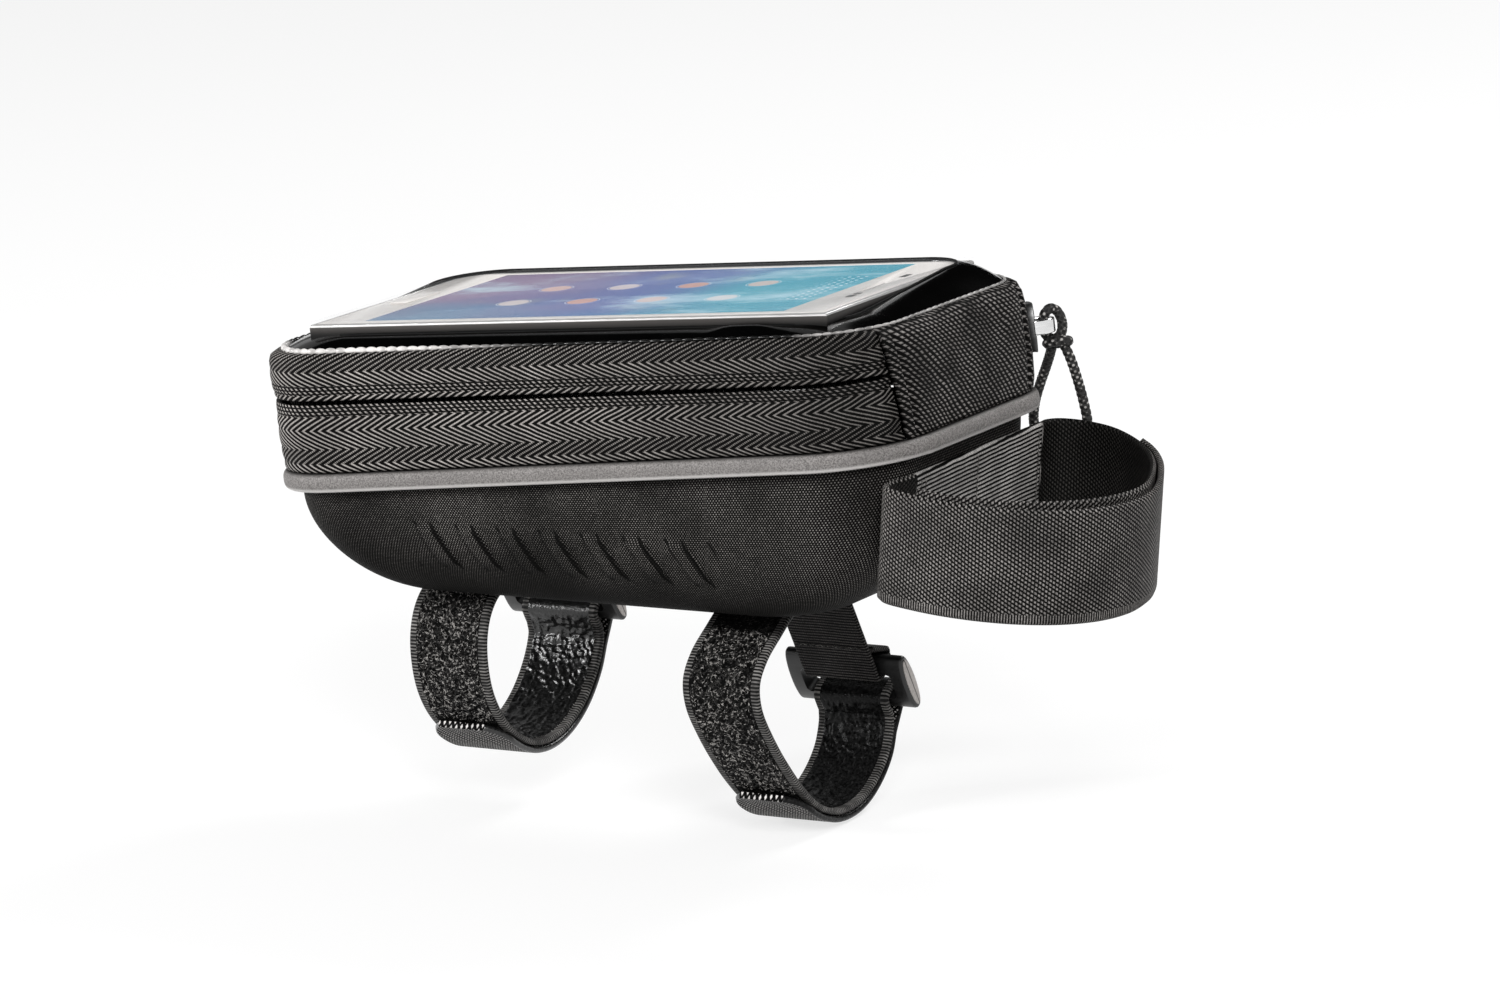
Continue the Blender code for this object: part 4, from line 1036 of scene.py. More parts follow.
def make_window(gloss, clear, scallop, seal):
    """The domed gloss surround from the gusset's seam up to the phone, and the film over the phone."""
    how = dict(arc=3.0, run=(60, 30))
    seam = flange_outline(-GUSSET_INSET - GUSSET_ROLL - GAP, **how)
    edge = phone_outline(0.45 * MM, **how)
    rows = []
    for share in np.linspace(0, 1, 21):
        foot_height = gusset_top(seam[:, 0])
        edge_x = PHONE_PLACE[0] + edge[:, 0]
        edge_height = PHONE_PLACE[1] + lip_height(edge[:, 1], 2.9 * MM) - edge[:, 0] * math.tan(LID_PITCH)
        rise = math.sin(math.radians(90) * share)
        rows.append(np.column_stack([
            seam[:, 0] + (edge_x - seam[:, 0]) * share,
            seam[:, 1] + (edge[:, 1] - seam[:, 1]) * share,
            foot_height + (edge_height - foot_height) * rise,
        ]))
    rows = np.array(rows)
    share = np.linspace(0, 1, len(rows))[:, None]
    ear = np.exp(-((rows[..., 0] - 49 * MM) / (7.5 * MM)) ** 4) * (rows[..., 1] < 0)
    rows[..., 2] += 1.1 * MM * ear * np.sin(math.pi * share) ** 1.5
    piece = sheet_mesh("gloss_window_surround", placed(rows, BAG), closed=True)
    thicken(piece, 1.2 * MM)
    dress(piece, gloss, "lid", ["window_frame"])
    around = np.arange(0, RIM_LENGTH, 0.28 * MM)
    lip_offset, lip_radius = 0.5 * MM, 0.32 * MM
    lip = phone_outline(lip_offset, **how)

    def scallops(angle):
        spot = rim_at(around, 0.0)
        near_rear = np.clip((-10 * MM - spot[:, 0]) / (40 * MM), 0, 1) * (spot[:, 1] < 0)
        waves = 0.6 + 0.55 * np.abs(np.sin(math.pi * around / (2.8 * MM))) ** 0.6
        swell = (0.34 * MM + 0.36 * MM * near_rear) * waves
        flat = rim_at(around, -GUSSET_ROLL - 0.15 * MM + swell * math.cos(angle))
        return np.column_stack([flat, gusset_top(flat[:, 0]) + 0.25 * MM + swell * math.sin(angle)])

    def lip_line(angle):
        flat = phone_outline(lip_offset + lip_radius * math.cos(angle), **how)
        return np.column_stack([flat, lip_height(lip[:, 1], 3.05 * MM) + lip_radius * math.sin(angle)])

    bead("window_edge_scallops", scallops, BAG, scallop)
    bead("window_lip_bead", lip_line, ON_PHONE, seal)
    film = rounded_slab("clear_window_film", 0.2 * MM, GAP, GAP + 0.35 * MM, 0.15 * MM)
    dress(film, clear, "lid", ["window_film"])


# Phone
def rounded_slab(name, grow, low, high, edge, matrix=ON_PHONE, size=PHONE):
    """A slab with the phone's outline: a cube whose upright edges and rims are bevelled."""
    bpy.ops.object.select_all(action="DESELECT")
    bpy.ops.mesh.primitive_cube_add(size=1.0, location=(0, 0, 0))
    piece = bpy.context.active_object
    piece.name = name
    piece.data.name = name
    half_length, half_width, radius = size
    for vertex in piece.data.vertices:
        vertex.co = (
            math.copysign(half_length + grow, vertex.co.x), math.copysign(half_width + grow, vertex.co.y),
            high if vertex.co.z > 0 else low,
        )
    bpy.ops.object.mode_set(mode="EDIT")
    mesh = bmesh.from_edit_mesh(piece.data)
    for edge_item in mesh.edges:
        a, b = edge_item.verts
        edge_item.select_set(abs(a.co.z - b.co.z) > 1e-7)
    bmesh.update_edit_mesh(piece.data)
    bpy.ops.mesh.bevel(offset=radius + grow, segments=16, affect="EDGES", clamp_overlap=False)
    if edge:
        mesh = bmesh.from_edit_mesh(piece.data)
        for edge_item in mesh.edges:
            a, b = edge_item.verts
            flat = abs(a.co.z - b.co.z) < 1e-7
            faces = [abs(f.normal.z) > 0.9 for f in edge_item.link_faces]
            edge_item.select_set(flat and any(faces) and not all(faces))
        bmesh.update_edit_mesh(piece.data)
        bpy.ops.mesh.bevel(offset=edge, segments=3, affect="EDGES")
    bpy.ops.object.mode_set(mode="OBJECT")
    piece.data.transform(matrix)
    piece.data.shade_smooth()
    smooth_by_angle(piece, 35)
    return piece


def cut(piece, cutter):
    """Cut one piece out of another and remove the cutter."""
    modify(piece, "BOOLEAN", operation="DIFFERENCE", solver="EXACT", object=cutter)
    bpy.data.objects.remove(cutter)


def on_phone(x, y=0.0):
    """A place on the phone's face, from millimetres."""
    return ON_PHONE @ Matrix.Translation((x * MM, y * MM, 0))


def make_phone(white, silver, glow, black):
    rim = rounded_slab("phone_metal_rim", 0.0, -5.2 * MM, 0.0, 0.5 * MM)
    cut(rim, rounded_slab("rim_hollow", -1.1 * MM, -9 * MM, 4 * MM, 0.0))
    dress(rim, silver, "lid", ["phone_rim"])
    back = rounded_slab("phone_back", 0.0, -PHONE_THICK, -5.25 * MM, 1.0 * MM)
    dress(back, white, "lid", ["phone_back_shell"])
    glass = rounded_slab("phone_bezel_glass", -1.12 * MM, -1.2 * MM, 0.05 * MM, 0.3 * MM)
    cut(glass, rounded_slab("screen_hole", 0, -3 * MM, 3 * MM, 0.0, size=SCREEN))
    cut(glass, rounded_slab(
        "earpiece_hole", 0, -3 * MM, 3 * MM, 0.0, size=(0.85 * MM, 6.0 * MM, 0.8 * MM), matrix=on_phone(61.3),
    ))
    dress(glass, white, "lid", ["phone_front_glass"])
    screen = rounded_slab("phone_lit_screen", -0.02 * MM, -1.2 * MM, 0.045 * MM, 0.0, size=SCREEN)
    dress(screen, glow, "lid", ["phone_screen"])
    button = rounded_slab(
        "home_button", 0, 0.04 * MM, 0.32 * MM, 0.12 * MM, size=(2.3 * MM, 7.4 * MM, 2.25 * MM),
        matrix=on_phone(-61.5),
    )
    dress(button, white, "lid", ())
    for index, (x, y, long) in enumerate(((62.2, -12.5, 1.3), (62.2, -9.2, 0.8), (61.8, 14.0, 1.9))):
        dot = rounded_slab(
            "front_sensor_%d" % index, 0, 0.03 * MM, 0.09 * MM, 0.0, size=(0.8 * MM, long * MM, 0.78 * MM),
            matrix=on_phone(x, y),
        )
        dress(dot, black, "lid", ())


def layered(name, ring, steps, reach, top, thickness, swell):
    """A flat soft piece: rings from the rim to the middle at top + swell(x, y), thickened downwards."""
    rows = []
    for share in np.linspace(0, 1, steps):
        flat = ring(-reach * share)
        rows.append(np.column_stack([flat, top + swell(flat[:, 0], flat[:, 1])]))
    piece = sheet_mesh(name, placed(rows, ON_PHONE), closed=True, ends=(False, True))
    weld(piece)
    thicken(piece, thickness, -1.0 if piece.data.polygons[0].normal.z > 0 else 1.0)
    round_edges(piece, thickness * 0.3)
    return piece


def make_lining(pad_cloth, pocket_cloth):
    """The soft pad under the phone and the pocket panel that carries it."""
    def pad_ring(offset):
        half = (PHONE[0] - 2 * MM + offset, PHONE[1] - 2 * MM + offset)
        return outline(*half, max(10.5 * MM + offset, 1 * MM), arc=6.0)

    pad = layered(
        "phone_backing_pad", pad_ring, 16, 32 * MM, -8.3 * MM, 1.7 * MM,
        lambda x, y: -0.10 * MM * (np.cos(x / (3.2 * MM)) * np.cos(y / (3.2 * MM)) + 1) / 2,
    )
    dress(pad, pad_cloth, "lid", ["phone_pad"])

    def panel_ring(offset):
        half = (FLANGE[0] - 3.3 * MM + offset, FLANGE[1] - 3.3 * MM + offset)
        flat = outline(*half, max(FLANGE[2] - 3.3 * MM + offset, 1 * MM), arc=4.0)
        return flat - np.array([PHONE_PLACE[0], 0.0])

    def panel_swell(x, y):
        dome = np.cos(np.clip(x / (90 * MM), -1, 1) * 1.57) * np.cos(np.clip(y / (45 * MM), -1, 1) * 1.57)
        return -0.45 * MM * dome + 0.08 * MM * np.sin(x / (6.0 * MM) + y / (9.0 * MM))

    panel = layered("pocket_cloth_panel", panel_ring, 26, 40 * MM, -10.6 * MM, 0.9 * MM, panel_swell)
    dress(panel, pocket_cloth, "lid", ["pocket_panel"])


# Straps
REAR_STRAP_ROUTE = (
    (-6, -1.1), (-9.5, -1.1), (-13, -1.1), (-18.5, -2.0), (-22.8, -5.8), (-25.1, -11.2), (-25.4, -17.5),
    (-23.8, -24.5), (-19.8, -31.2), (-13.6, -36.8), (-6, -40.4), (2, -41.2), (10, -39.4), (17.3, -35.2),
    (23.0, -29.2), (26.2, -23.2),
)
FRONT_STRAP_ROUTE = (
    (2, -1.1), (-6, -1.2), (-12.5, -2.8), (-19, -6.3), (-25.6, -10.4), (-29.6, -15.5), (-29.0, -21.8),
    (-24.8, -28.8), (-19, -36.2), (-12, -43.6), (-4.6, -49.6), (3.6, -52.9), (11, -53.6), (18, -52.4),
    (24.4, -49.2), (29.2, -44.8), (31.6, -39.8),
)
NEAR_TAIL_ROUTE = (
    (81.0, -26.3), (80.6, -30.2), (79.9, -34.2), (80.4, -38.4), (83.2, -41.6), (88.5, -42.8), (97.0, -43.2),
    (106.0, -41.8), (114.5, -38.4), (122.0, -32.6), (127.3, -24.6), (129.6, -15.0), (128.9, -5.0),
    (126.2, 4.0), (122.8, 11.9), (117.9, 21.5), (111.9, 30.4), (106.4, 36.0),
)
FAR_TAIL_ROUTE = (
    (81.0, 34.8), (81.1, 37.6), (83.4, 40.7), (88.5, 42.2), (95.6, 41.2), (103.0, 36.6), (110.4, 29.4),
    (116.4, 20.6), (121.2, 10.6), (124.8, 0.0), (125.2, -9.0), (122.8, -18.4), (117.6, -26.6), (110.6, -32.8),
    (103.0, -36.8), (95.4, -38.4), (88.0, -37.6),
)
PULL_CORD_ROUTE = (
    (81.0, 41.7, 51.4), (79.6, 43.0, 48.8), (77.6, 44.6, 45.4), (75.4, 45.7, 41.2), (73.6, 46.4, 36.8),
    (72.9, 46.8, 32.2), (73.9, 47.0, 27.6), (76.7, 47.1, 24.2), (80.4, 47.1, 23.2), (83.8, 47.0, 24.8),
    (86.2, 46.8, 28.2), (87.0, 46.4, 32.6), (86.6, 45.6, 37.6), (85.8, 44.4, 43.2), (84.9, 43.2, 48.0),
    (83.6, 42.4, 51.8),
)
STRAPS = (
    ("rear", -44.0, 21.0, REAR_STRAP_ROUTE, 8, (25.0, -11.2)),
    ("front", 31.1, 20.0, FRONT_STRAP_ROUTE, 9, (31.0, -28.0)),
)


def millimetres(points):
    return [Vector(value * MM for value in point) for point in points]


def buckle_axes(centre):
    return (
        Vector(centre) * MM, Vector((math.cos(BUCKLE_TILT), math.sin(BUCKLE_TILT))),
        Vector((-math.sin(BUCKLE_TILT), math.cos(BUCKLE_TILT))),
    )


def turn_over_bar(centre, thickness, side, reach):
    """Points of a strap that passes through the slot and turns over one of the buckle's bars."""
    middle, outward, upward = buckle_axes(centre)
    leg = 0.5 * BUCKLE[2] + GAP + 0.5 * thickness
    bridge = 0.5 * BUCKLE_SLOT[2] - GAP - 0.5 * thickness
    shape = [
        (-1.0, bridge + reach), (-1.0, bridge + 2.6 * MM), (-0.94, bridge + 0.9 * MM),
        (-0.56, bridge + 0.05 * MM), (0.0, bridge),
    ]
    shape += [(-across, up) for across, up in reversed(shape[:4])]
    return [middle + across * leg * outward + side * up * upward for across, up in shape]


def belt(name, route, low, high, thickness, relief=None, upright=None, slices=44, narrow=None):
    """A strap of one thickness along a flat route, as a closed tube of flat section with rounded edges.

    relief gives how far its right and left faces stand proud at (along, across), both in millimetres.
    """
    rights = rights_of(route)
    along = lengths(route)
    half = thickness / 2
    across = np.linspace(0, 1, slices)
    width = high - low
    edge = np.clip(np.minimum(across, 1 - across) * width / (0.45 * thickness), 0, 1)
    swell = half * np.sqrt(1 - (1 - edge) ** 2)
    right_face = [(share, 1, reach) for share, reach in zip(across, swell)]
    left_face = [(share, -1, reach) for share, side, reach in right_face[::-1]]
    section = right_face + left_face[1:-1]
    rows = []
    for index, (point, right) in enumerate(zip(route, rights)):
        row = []
        for share, side, reach in section:
            extra = 0.0 if relief is None else relief(along[index] / MM, share * width / MM, side)
            shift = side * (reach + extra * min(1.0, reach / half))
            flat = point + right * shift
            aside = 0.0 if narrow is None else narrow(along[-1] - along[index]) * (1 - 2 * share)
            row.append((flat[0], flat[1], low + share * width + aside))
        rows.append(row)
    rows = np.array(rows)
    rows = rows[..., [2, 0, 1]] if upright is None else placed(rows, upright)
    ring = np.array([share * width for share, side, reach in section] + [section[0][0] * width])
    return sheet_mesh(name, rows, closed=True, along=ring, up=along, ends=(True, True)), section


def value_noise(seed, width, height):
    """A smooth random height field on a unit grid, as a function of two coordinates."""
    grid = np.random.default_rng(seed).random((width, height))

    def at(a, b):
        i, j = int(math.floor(a)), int(math.floor(b))
        s, t = a - i, b - j
        s, t = s * s * (3 - 2 * s), t * t * (3 - 2 * t)
        i0, i1, j0, j1 = i % width, (i + 1) % width, j % height, (j + 1) % height
        return (
            grid[i0, j0] * (1 - s) * (1 - t) + grid[i1, j0] * s * (1 - t)
            + grid[i0, j1] * (1 - s) * t + grid[i1, j1] * s * t
        )
    return at


def threads(name, base, heading, out, span, rise, curl, radius):
    """Many little arches of thread in one mesh, each standing at base, along heading, rising towards out."""
    share = np.linspace(0, 1, 6)[None, :, None]
    cross = np.cross(out, heading)
    spine = (
        base[:, None] + out[:, None] * rise[:, None, None] * np.sin(math.pi * share)
        + heading[:, None] * (share - 0.5) * span[:, None, None]
        + cross[:, None] * curl[:, None, None] * np.sin(2 * math.pi * share)
    )
    angle = np.linspace(0, 2 * math.pi, 5)[:-1]
    ring = np.cos(angle)[:, None] * cross[:, None] + np.sin(angle)[:, None] * out[:, None]
    points = spine[:, :, None] + radius * ring[:, None]
    count = len(base)
    one = [
        (k + 4 * i, (k + 1) % 4 + 4 * i, (k + 1) % 4 + 4 * i + 4, k + 4 * i + 4)
        for i in range(5) for k in range(4)
    ]
    faces = (np.array(one)[None] + 24 * np.arange(count)[:, None, None]).reshape(-1, 4)
    mesh = bpy.data.meshes.new(name)
    mesh.from_pydata(points.reshape(-1, 3).tolist(), [], faces[:, ::-1].tolist())
    piece = linked(name, mesh)
    mesh.shade_smooth()
    first = mesh.polygons[0]
    if first.normal.dot(first.center - Vector(spine[0, :2].mean(axis=0))) < 0:
        mesh.flip_normals()
    return piece


def tip_narrowing(left):
    """How far each edge of a strap comes in over its last few millimetres."""
    return 4.2 * MM * max(0.0, 1 - left / (8.0 * MM)) ** 2


def loop_pile(name, path, low, width, first, last, count, seed, thread):
    """Loops of thread standing on a strap's right face."""
    draw = np.random.default_rng(seed)
    along, rights = lengths(path), rights_of(path)
    where = draw.uniform(first, last, count)
    margin = 2.2 * MM
    across = draw.uniform(low + margin, low + width - margin, count)
    base = np.stack([across, *(np.interp(where, along, path[:, k]) for k in (0, 1))], axis=1)
    out = np.stack([across * 0, *(np.interp(where, along, rights[:, k]) for k in (0, 1))], axis=1)
    out /= np.linalg.norm(out, axis=1)[:, None]
    ahead = np.stack([across * 0, -out[:, 2], out[:, 1]], axis=1)
    turn = draw.uniform(0, 2 * math.pi, count)[:, None]
    heading = np.cos(turn) * ahead + np.sin(turn) * np.array([1.0, 0, 0])
    piece = threads(
        name, base + out * 0.68 * MM, heading, out, draw.uniform(0.7, 1.5, count) * MM,
        draw.uniform(0.15, 0.45, count) * MM, draw.uniform(-0.3, 0.3, count) * MM, LOOP_RADIUS,
    )
    dress(piece, thread, "base", ())


def stitch_row(name, start, end, out, pitch, thread):
    """A straight row of stitches between two points on a cloth that faces out."""
    start, end, out = (np.array(v, float) for v in (start, end, out))
    count = max(2, int(np.linalg.norm(end - start) / pitch))
    share = (np.arange(count) + 0.5)[:, None] / count
    heading = np.tile((end - start) / np.linalg.norm(end - start), (count, 1))
    same = np.ones(count)
    piece = threads(
        name, start + (end - start) * share, heading, np.tile(out / np.linalg.norm(out), (count, 1)),
        same * pitch * 0.82, same * STITCH_RISE, same * 0.0, STITCH_RADIUS,
    )
    dress(piece, thread, "base", ())


def make_straps(pile_cloth, rubber_faces, folded_face, selvedge, plastic, cap, tab_web, thread, stitch):
    for side, centre_x, width, route_mm, tip_point, centre in STRAPS:
        middle_x = centre_x * MM
        route = millimetres(route_mm)
        bar = turn_over_bar(centre, STRAP_THICK, -1, 5.2 * MM)
        first_leg = smooth_route(route + bar[:1], STRAP_STEP)
        tail = smooth_route(route[tip_point:], STRAP_STEP)
        lift = np.clip(1 - lengths(tail) / (7.5 * MM), 0, 1)[:, None] ** 2 * 1.3 * MM
        tail = tail + rights_of(tail) * (STRAP_THICK + GAP + lift)
        folded = tail[::-1][1:]
        turn = smooth_route([*bar, Vector(folded[0])], STRAP_STEP)
        path = np.vstack([first_leg[:-1], turn[:-1], folded])
        change = lengths(first_leg)[-1] / MM + 10.5
        bumps = value_noise(11 if side == "rear" else 12, 400, 60)

        def relief(along, across, face, width=width, change=change, bumps=bumps):
            calm = min(1.0, max(0.0, (change - 6.8 - along) / 1.2), max(0.0, (along - 6.0) / 3.0))
            if face > 0 or calm == 0.0 or across < 2.0 or across > width - 2.0:
                return 0.0
            maze = bumps(along / 1.5, across / 1.5) * 1.5 + 0.5 * bumps(along / 0.7 + 31, across / 0.7)
            return (0.14 + 0.20 * math.cos(2 * math.pi * maze)) * calm * MM

        low, high = middle_x - width / 2 * MM, middle_x + width / 2 * MM
        piece, section = belt(
            side + "_hook_strap", path, low, high, STRAP_THICK, relief, slices=62, narrow=tip_narrowing,
        )
        faces = [pile_cloth, rubber_faces[side], folded_face, selvedge]
        dress(piece, faces, "base", [side + "_strap"])
        paint_belt(piece, section, lengths(path) / MM, width, change)
        sewn = lengths(smooth_route(route[:4], STRAP_STEP))[-1]
        tip = lengths(first_leg)[np.argmin(np.linalg.norm(first_leg - np.array(route[tip_point]), axis=1))]
        name = side + "_strap_loops"
        loop_pile(name, first_leg, low, width * MM, sewn, tip + 1.0 * MM, 1500, 5 + tip_point, thread)

        tab_bar = turn_over_bar(centre, WEB_THICK, 1, 4.0 * MM)
        middle, outward, upward = buckle_axes(centre)
        leg = 0.5 * BUCKLE[2] + GAP + 0.5 * WEB_THICK
        seat = -GAP - 0.5 * WEB_THICK
        run = (seat - (middle - leg * outward)[1]) / upward[1]
        corner = middle - leg * outward + run * upward
        start = [Vector((corner[0] - flat * MM, seat)) for flat in (9.0, 5.6, 2.6)]
        start += [corner - slope * MM * upward for slope in (2.6, 5.6)]
        last = middle + (-leg + WEB_THICK + GAP) * outward + (BUCKLE[1] / 2 + 3.5 * MM) * upward
        tab_path = smooth_route(start + tab_bar[1:] + [last], TAB_STEP)
        tab = belt(side + "_webbing_tab", tab_path, low, high, WEB_THICK)[0]
        dress(tab, tab_web, "base", [side + "_strap_tab"])
        for number, climb in enumerate((3.0,) if side == "rear" else (3.0, 19.5)):
            at = np.array(corner) - climb * MM * np.array(upward)
            face = at - 0.78 * MM * np.array(outward)
            stitch_row(
                "%s_tab_stitches_%d" % (side, number), (low + 1.5 * MM, *face), (high - 1.5 * MM, *face),
                (0, -outward[0], -outward[1]), 1.5 * MM, stitch,
            )
        make_buckle(side, middle_x, centre, plastic, cap)


def paint_belt(piece, section, along, width, change):
    """Pile on the right face, rubber on the left, woven on the folded end's left, and plain selvedges."""
    count = len(section)
    shares, sides, _ = zip(*section)
    polygons = piece.data.polygons
    indices = np.zeros(len(polygons), int)
    for row in range(len(along) - 1):
        for step in range(count):
            after = (step + 1) % count
            across = 0.5 * (shares[step] + shares[after]) * width
            face = sides[step] + sides[after]
            if along[row] >= change:
                slot = 2 if 0.6 < across < width - 0.6 else 1
            elif across < 1.9 or across > width - 1.9:
                slot = 3
            else:
                slot = 0 if face > 0 else 1
            indices[row * count + step] = slot
    indices[-2:] = 3, 2
    polygons.foreach_set("material_index", indices)
    piece.data.update()


def lens_bar(name, vertices, middle_x, half, power, bevel, segments):
    """A bar along X with a lens-shaped section and rounded edges, from its half sizes."""
    bpy.ops.object.select_all(action="DESELECT")
    bpy.ops.mesh.primitive_cylinder_add(
        vertices=vertices, radius=1.0, depth=1.0, location=(0, 0, 0), rotation=(0, math.pi / 2, 0),
    )
    piece = bpy.context.active_object
    piece.name = piece.data.name = name
    bpy.ops.object.transform_apply(location=True, rotation=True, scale=True)
    for vertex in piece.data.vertices:
        x, y, z = vertex.co
        vertex.co = (
            middle_x + math.copysign(half[0], x), math.copysign(abs(y) ** power, y) * half[1], z * half[2],
        )
    round_edges(piece, bevel, segments, 60)
    return piece


def make_buckle(side, middle_x, centre, plastic, cap):
    """An oval plastic loop with a slot through it, and a lens-shaped plate on each end."""
    middle, outward, upward = buckle_axes(centre)
    place = Matrix((
        (1, 0, 0, middle_x), (0, outward[0], upward[0], middle[0]), (0, outward[1], upward[1], middle[1]),
        (0, 0, 0, 1),
    ))
    half = (BUCKLE[0] / 2, BUCKLE[2] / 2, BUCKLE[1] / 2)
    loop = lens_bar(side + "_buckle_loop", 64, 0.0, half, 0.8, 0.7 * MM, 3)
    bpy.ops.mesh.primitive_cube_add(size=1.0, location=(0, 0, 0))
    slot = bpy.context.active_object
    slot.scale = BUCKLE_SLOT
    bpy.ops.object.transform_apply(location=True, rotation=True, scale=True)
    round_edges(slot, 1.2 * MM, 4, 30)
    cut(loop, slot)
    loop.data.transform(place)
    smooth_by_angle(loop, 40)
    dress(loop, plastic, "base", [side + "_buckle"])
    plate_half = (0.25 * MM, half[1] - 0.75 * MM, half[2] - 1.0 * MM)
    for end, which in ((-1, "near"), (1, "far")):
        name = "%s_buckle_cap_%s" % (side, which)
        plate = lens_bar(name, 48, end * half[0], plate_half, 0.85, 0.15 * MM, 2)
        flat = plate.data.uv_layers.new(name="cloth")
        for corner in plate.data.loops:
            spot = plate.data.vertices[corner.vertex_index].co
            flat.data[corner.index].uv = (spot[1], spot[2])
        plate.data.transform(place)
        smooth_by_angle(plate, 40)
        dress(plate, cap, "base", ())


def make_head_loop(outer_web, shaded_inner_web, patch_web, stitch):
    for name, route, node, outer_side in (
        ("near_head_web", NEAR_TAIL_ROUTE, "head_strap_near_tail", 1),
        ("far_head_web", FAR_TAIL_ROUTE, "head_strap_far_tail", -1),
    ):
        path = smooth_route([Vector((x * MM - HEAD_LOOP[0], y * MM)) for x, y in route], HEAD_STEP)
        piece, section = belt(name, path, -HEAD_WIDTH, 0.0, WEB_THICK, upright=ON_HEAD, slices=40)
        dress(piece, [outer_web, shaded_inner_web], "base", [node])
        # the faces inside the loop take the darker copy of the webbing: painted shade
        steps = [section[k][1] + section[(k + 1) % len(section)][1] for k in range(len(section))]
        inward = [int(side * outer_side < 0) for side in steps] * (len(path) - 1)
        piece.data.polygons.foreach_set("material_index", inward + [0, 0])
    route = smooth_route(millimetres(((0.0, -26.0), (0.0, 4.0), (0.0, 34.5))), HEAD_STEP)
    patch = belt("head_web_patch", route, -HEAD_WIDTH, 0.0, WEB_THICK, upright=ON_HEAD, slices=40)[0]
    dress(patch, patch_web, "base", ["head_strap_patch"])
    out = ON_HEAD.to_3x3() @ Vector((1, 0, 0))
    for number, across in enumerate((-24.5, -22.5, 2.5, 32.5)):
        ends = placed([(0.86 * MM, across * MM, -24.5 * MM), (0.86 * MM, across * MM, -1.5 * MM)], ON_HEAD)
        stitch_row("patch_stitches_%d" % number, *ends, out, 2.0 * MM, stitch)


# Slider and cord
def tube(name, route, radius, sides=20, relief=0.0, closed=False):
    """A round cord along a route, with a braid's relief, and its UV map along and round it."""
    route = np.asarray(route, float)
    along = lengths(route)
    tangents = np.gradient(route, axis=0)
    tangents /= np.linalg.norm(tangents, axis=1)[:, None]
    normal = np.cross(tangents[0], (0.3, 0.5, 0.8))
    normal /= np.linalg.norm(normal)
    rows = []
    angles = np.linspace(0, 2 * math.pi, sides, endpoint=False)
    for point, tangent, distance in zip(route, tangents, along):
        normal = normal - tangent * (normal @ tangent)
        normal /= np.linalg.norm(normal)
        other = np.cross(tangent, normal)
        wind = distance / MM / 1.5 * 2 * math.pi
        braid_relief = np.maximum(np.cos(wind + 4 * angles), np.cos(wind - 4 * angles))
        reach = radius + relief * (braid_relief - 1)
        spokes = np.cos(angles)[:, None] * normal + np.sin(angles)[:, None] * other
        rows.append(point + reach[:, None] * spokes)
    around = np.linspace(0, 2 * math.pi * radius, sides + 1)
    return sheet_mesh(name, rows, closed=True, along=around, up=along, ends=(not closed, not closed))


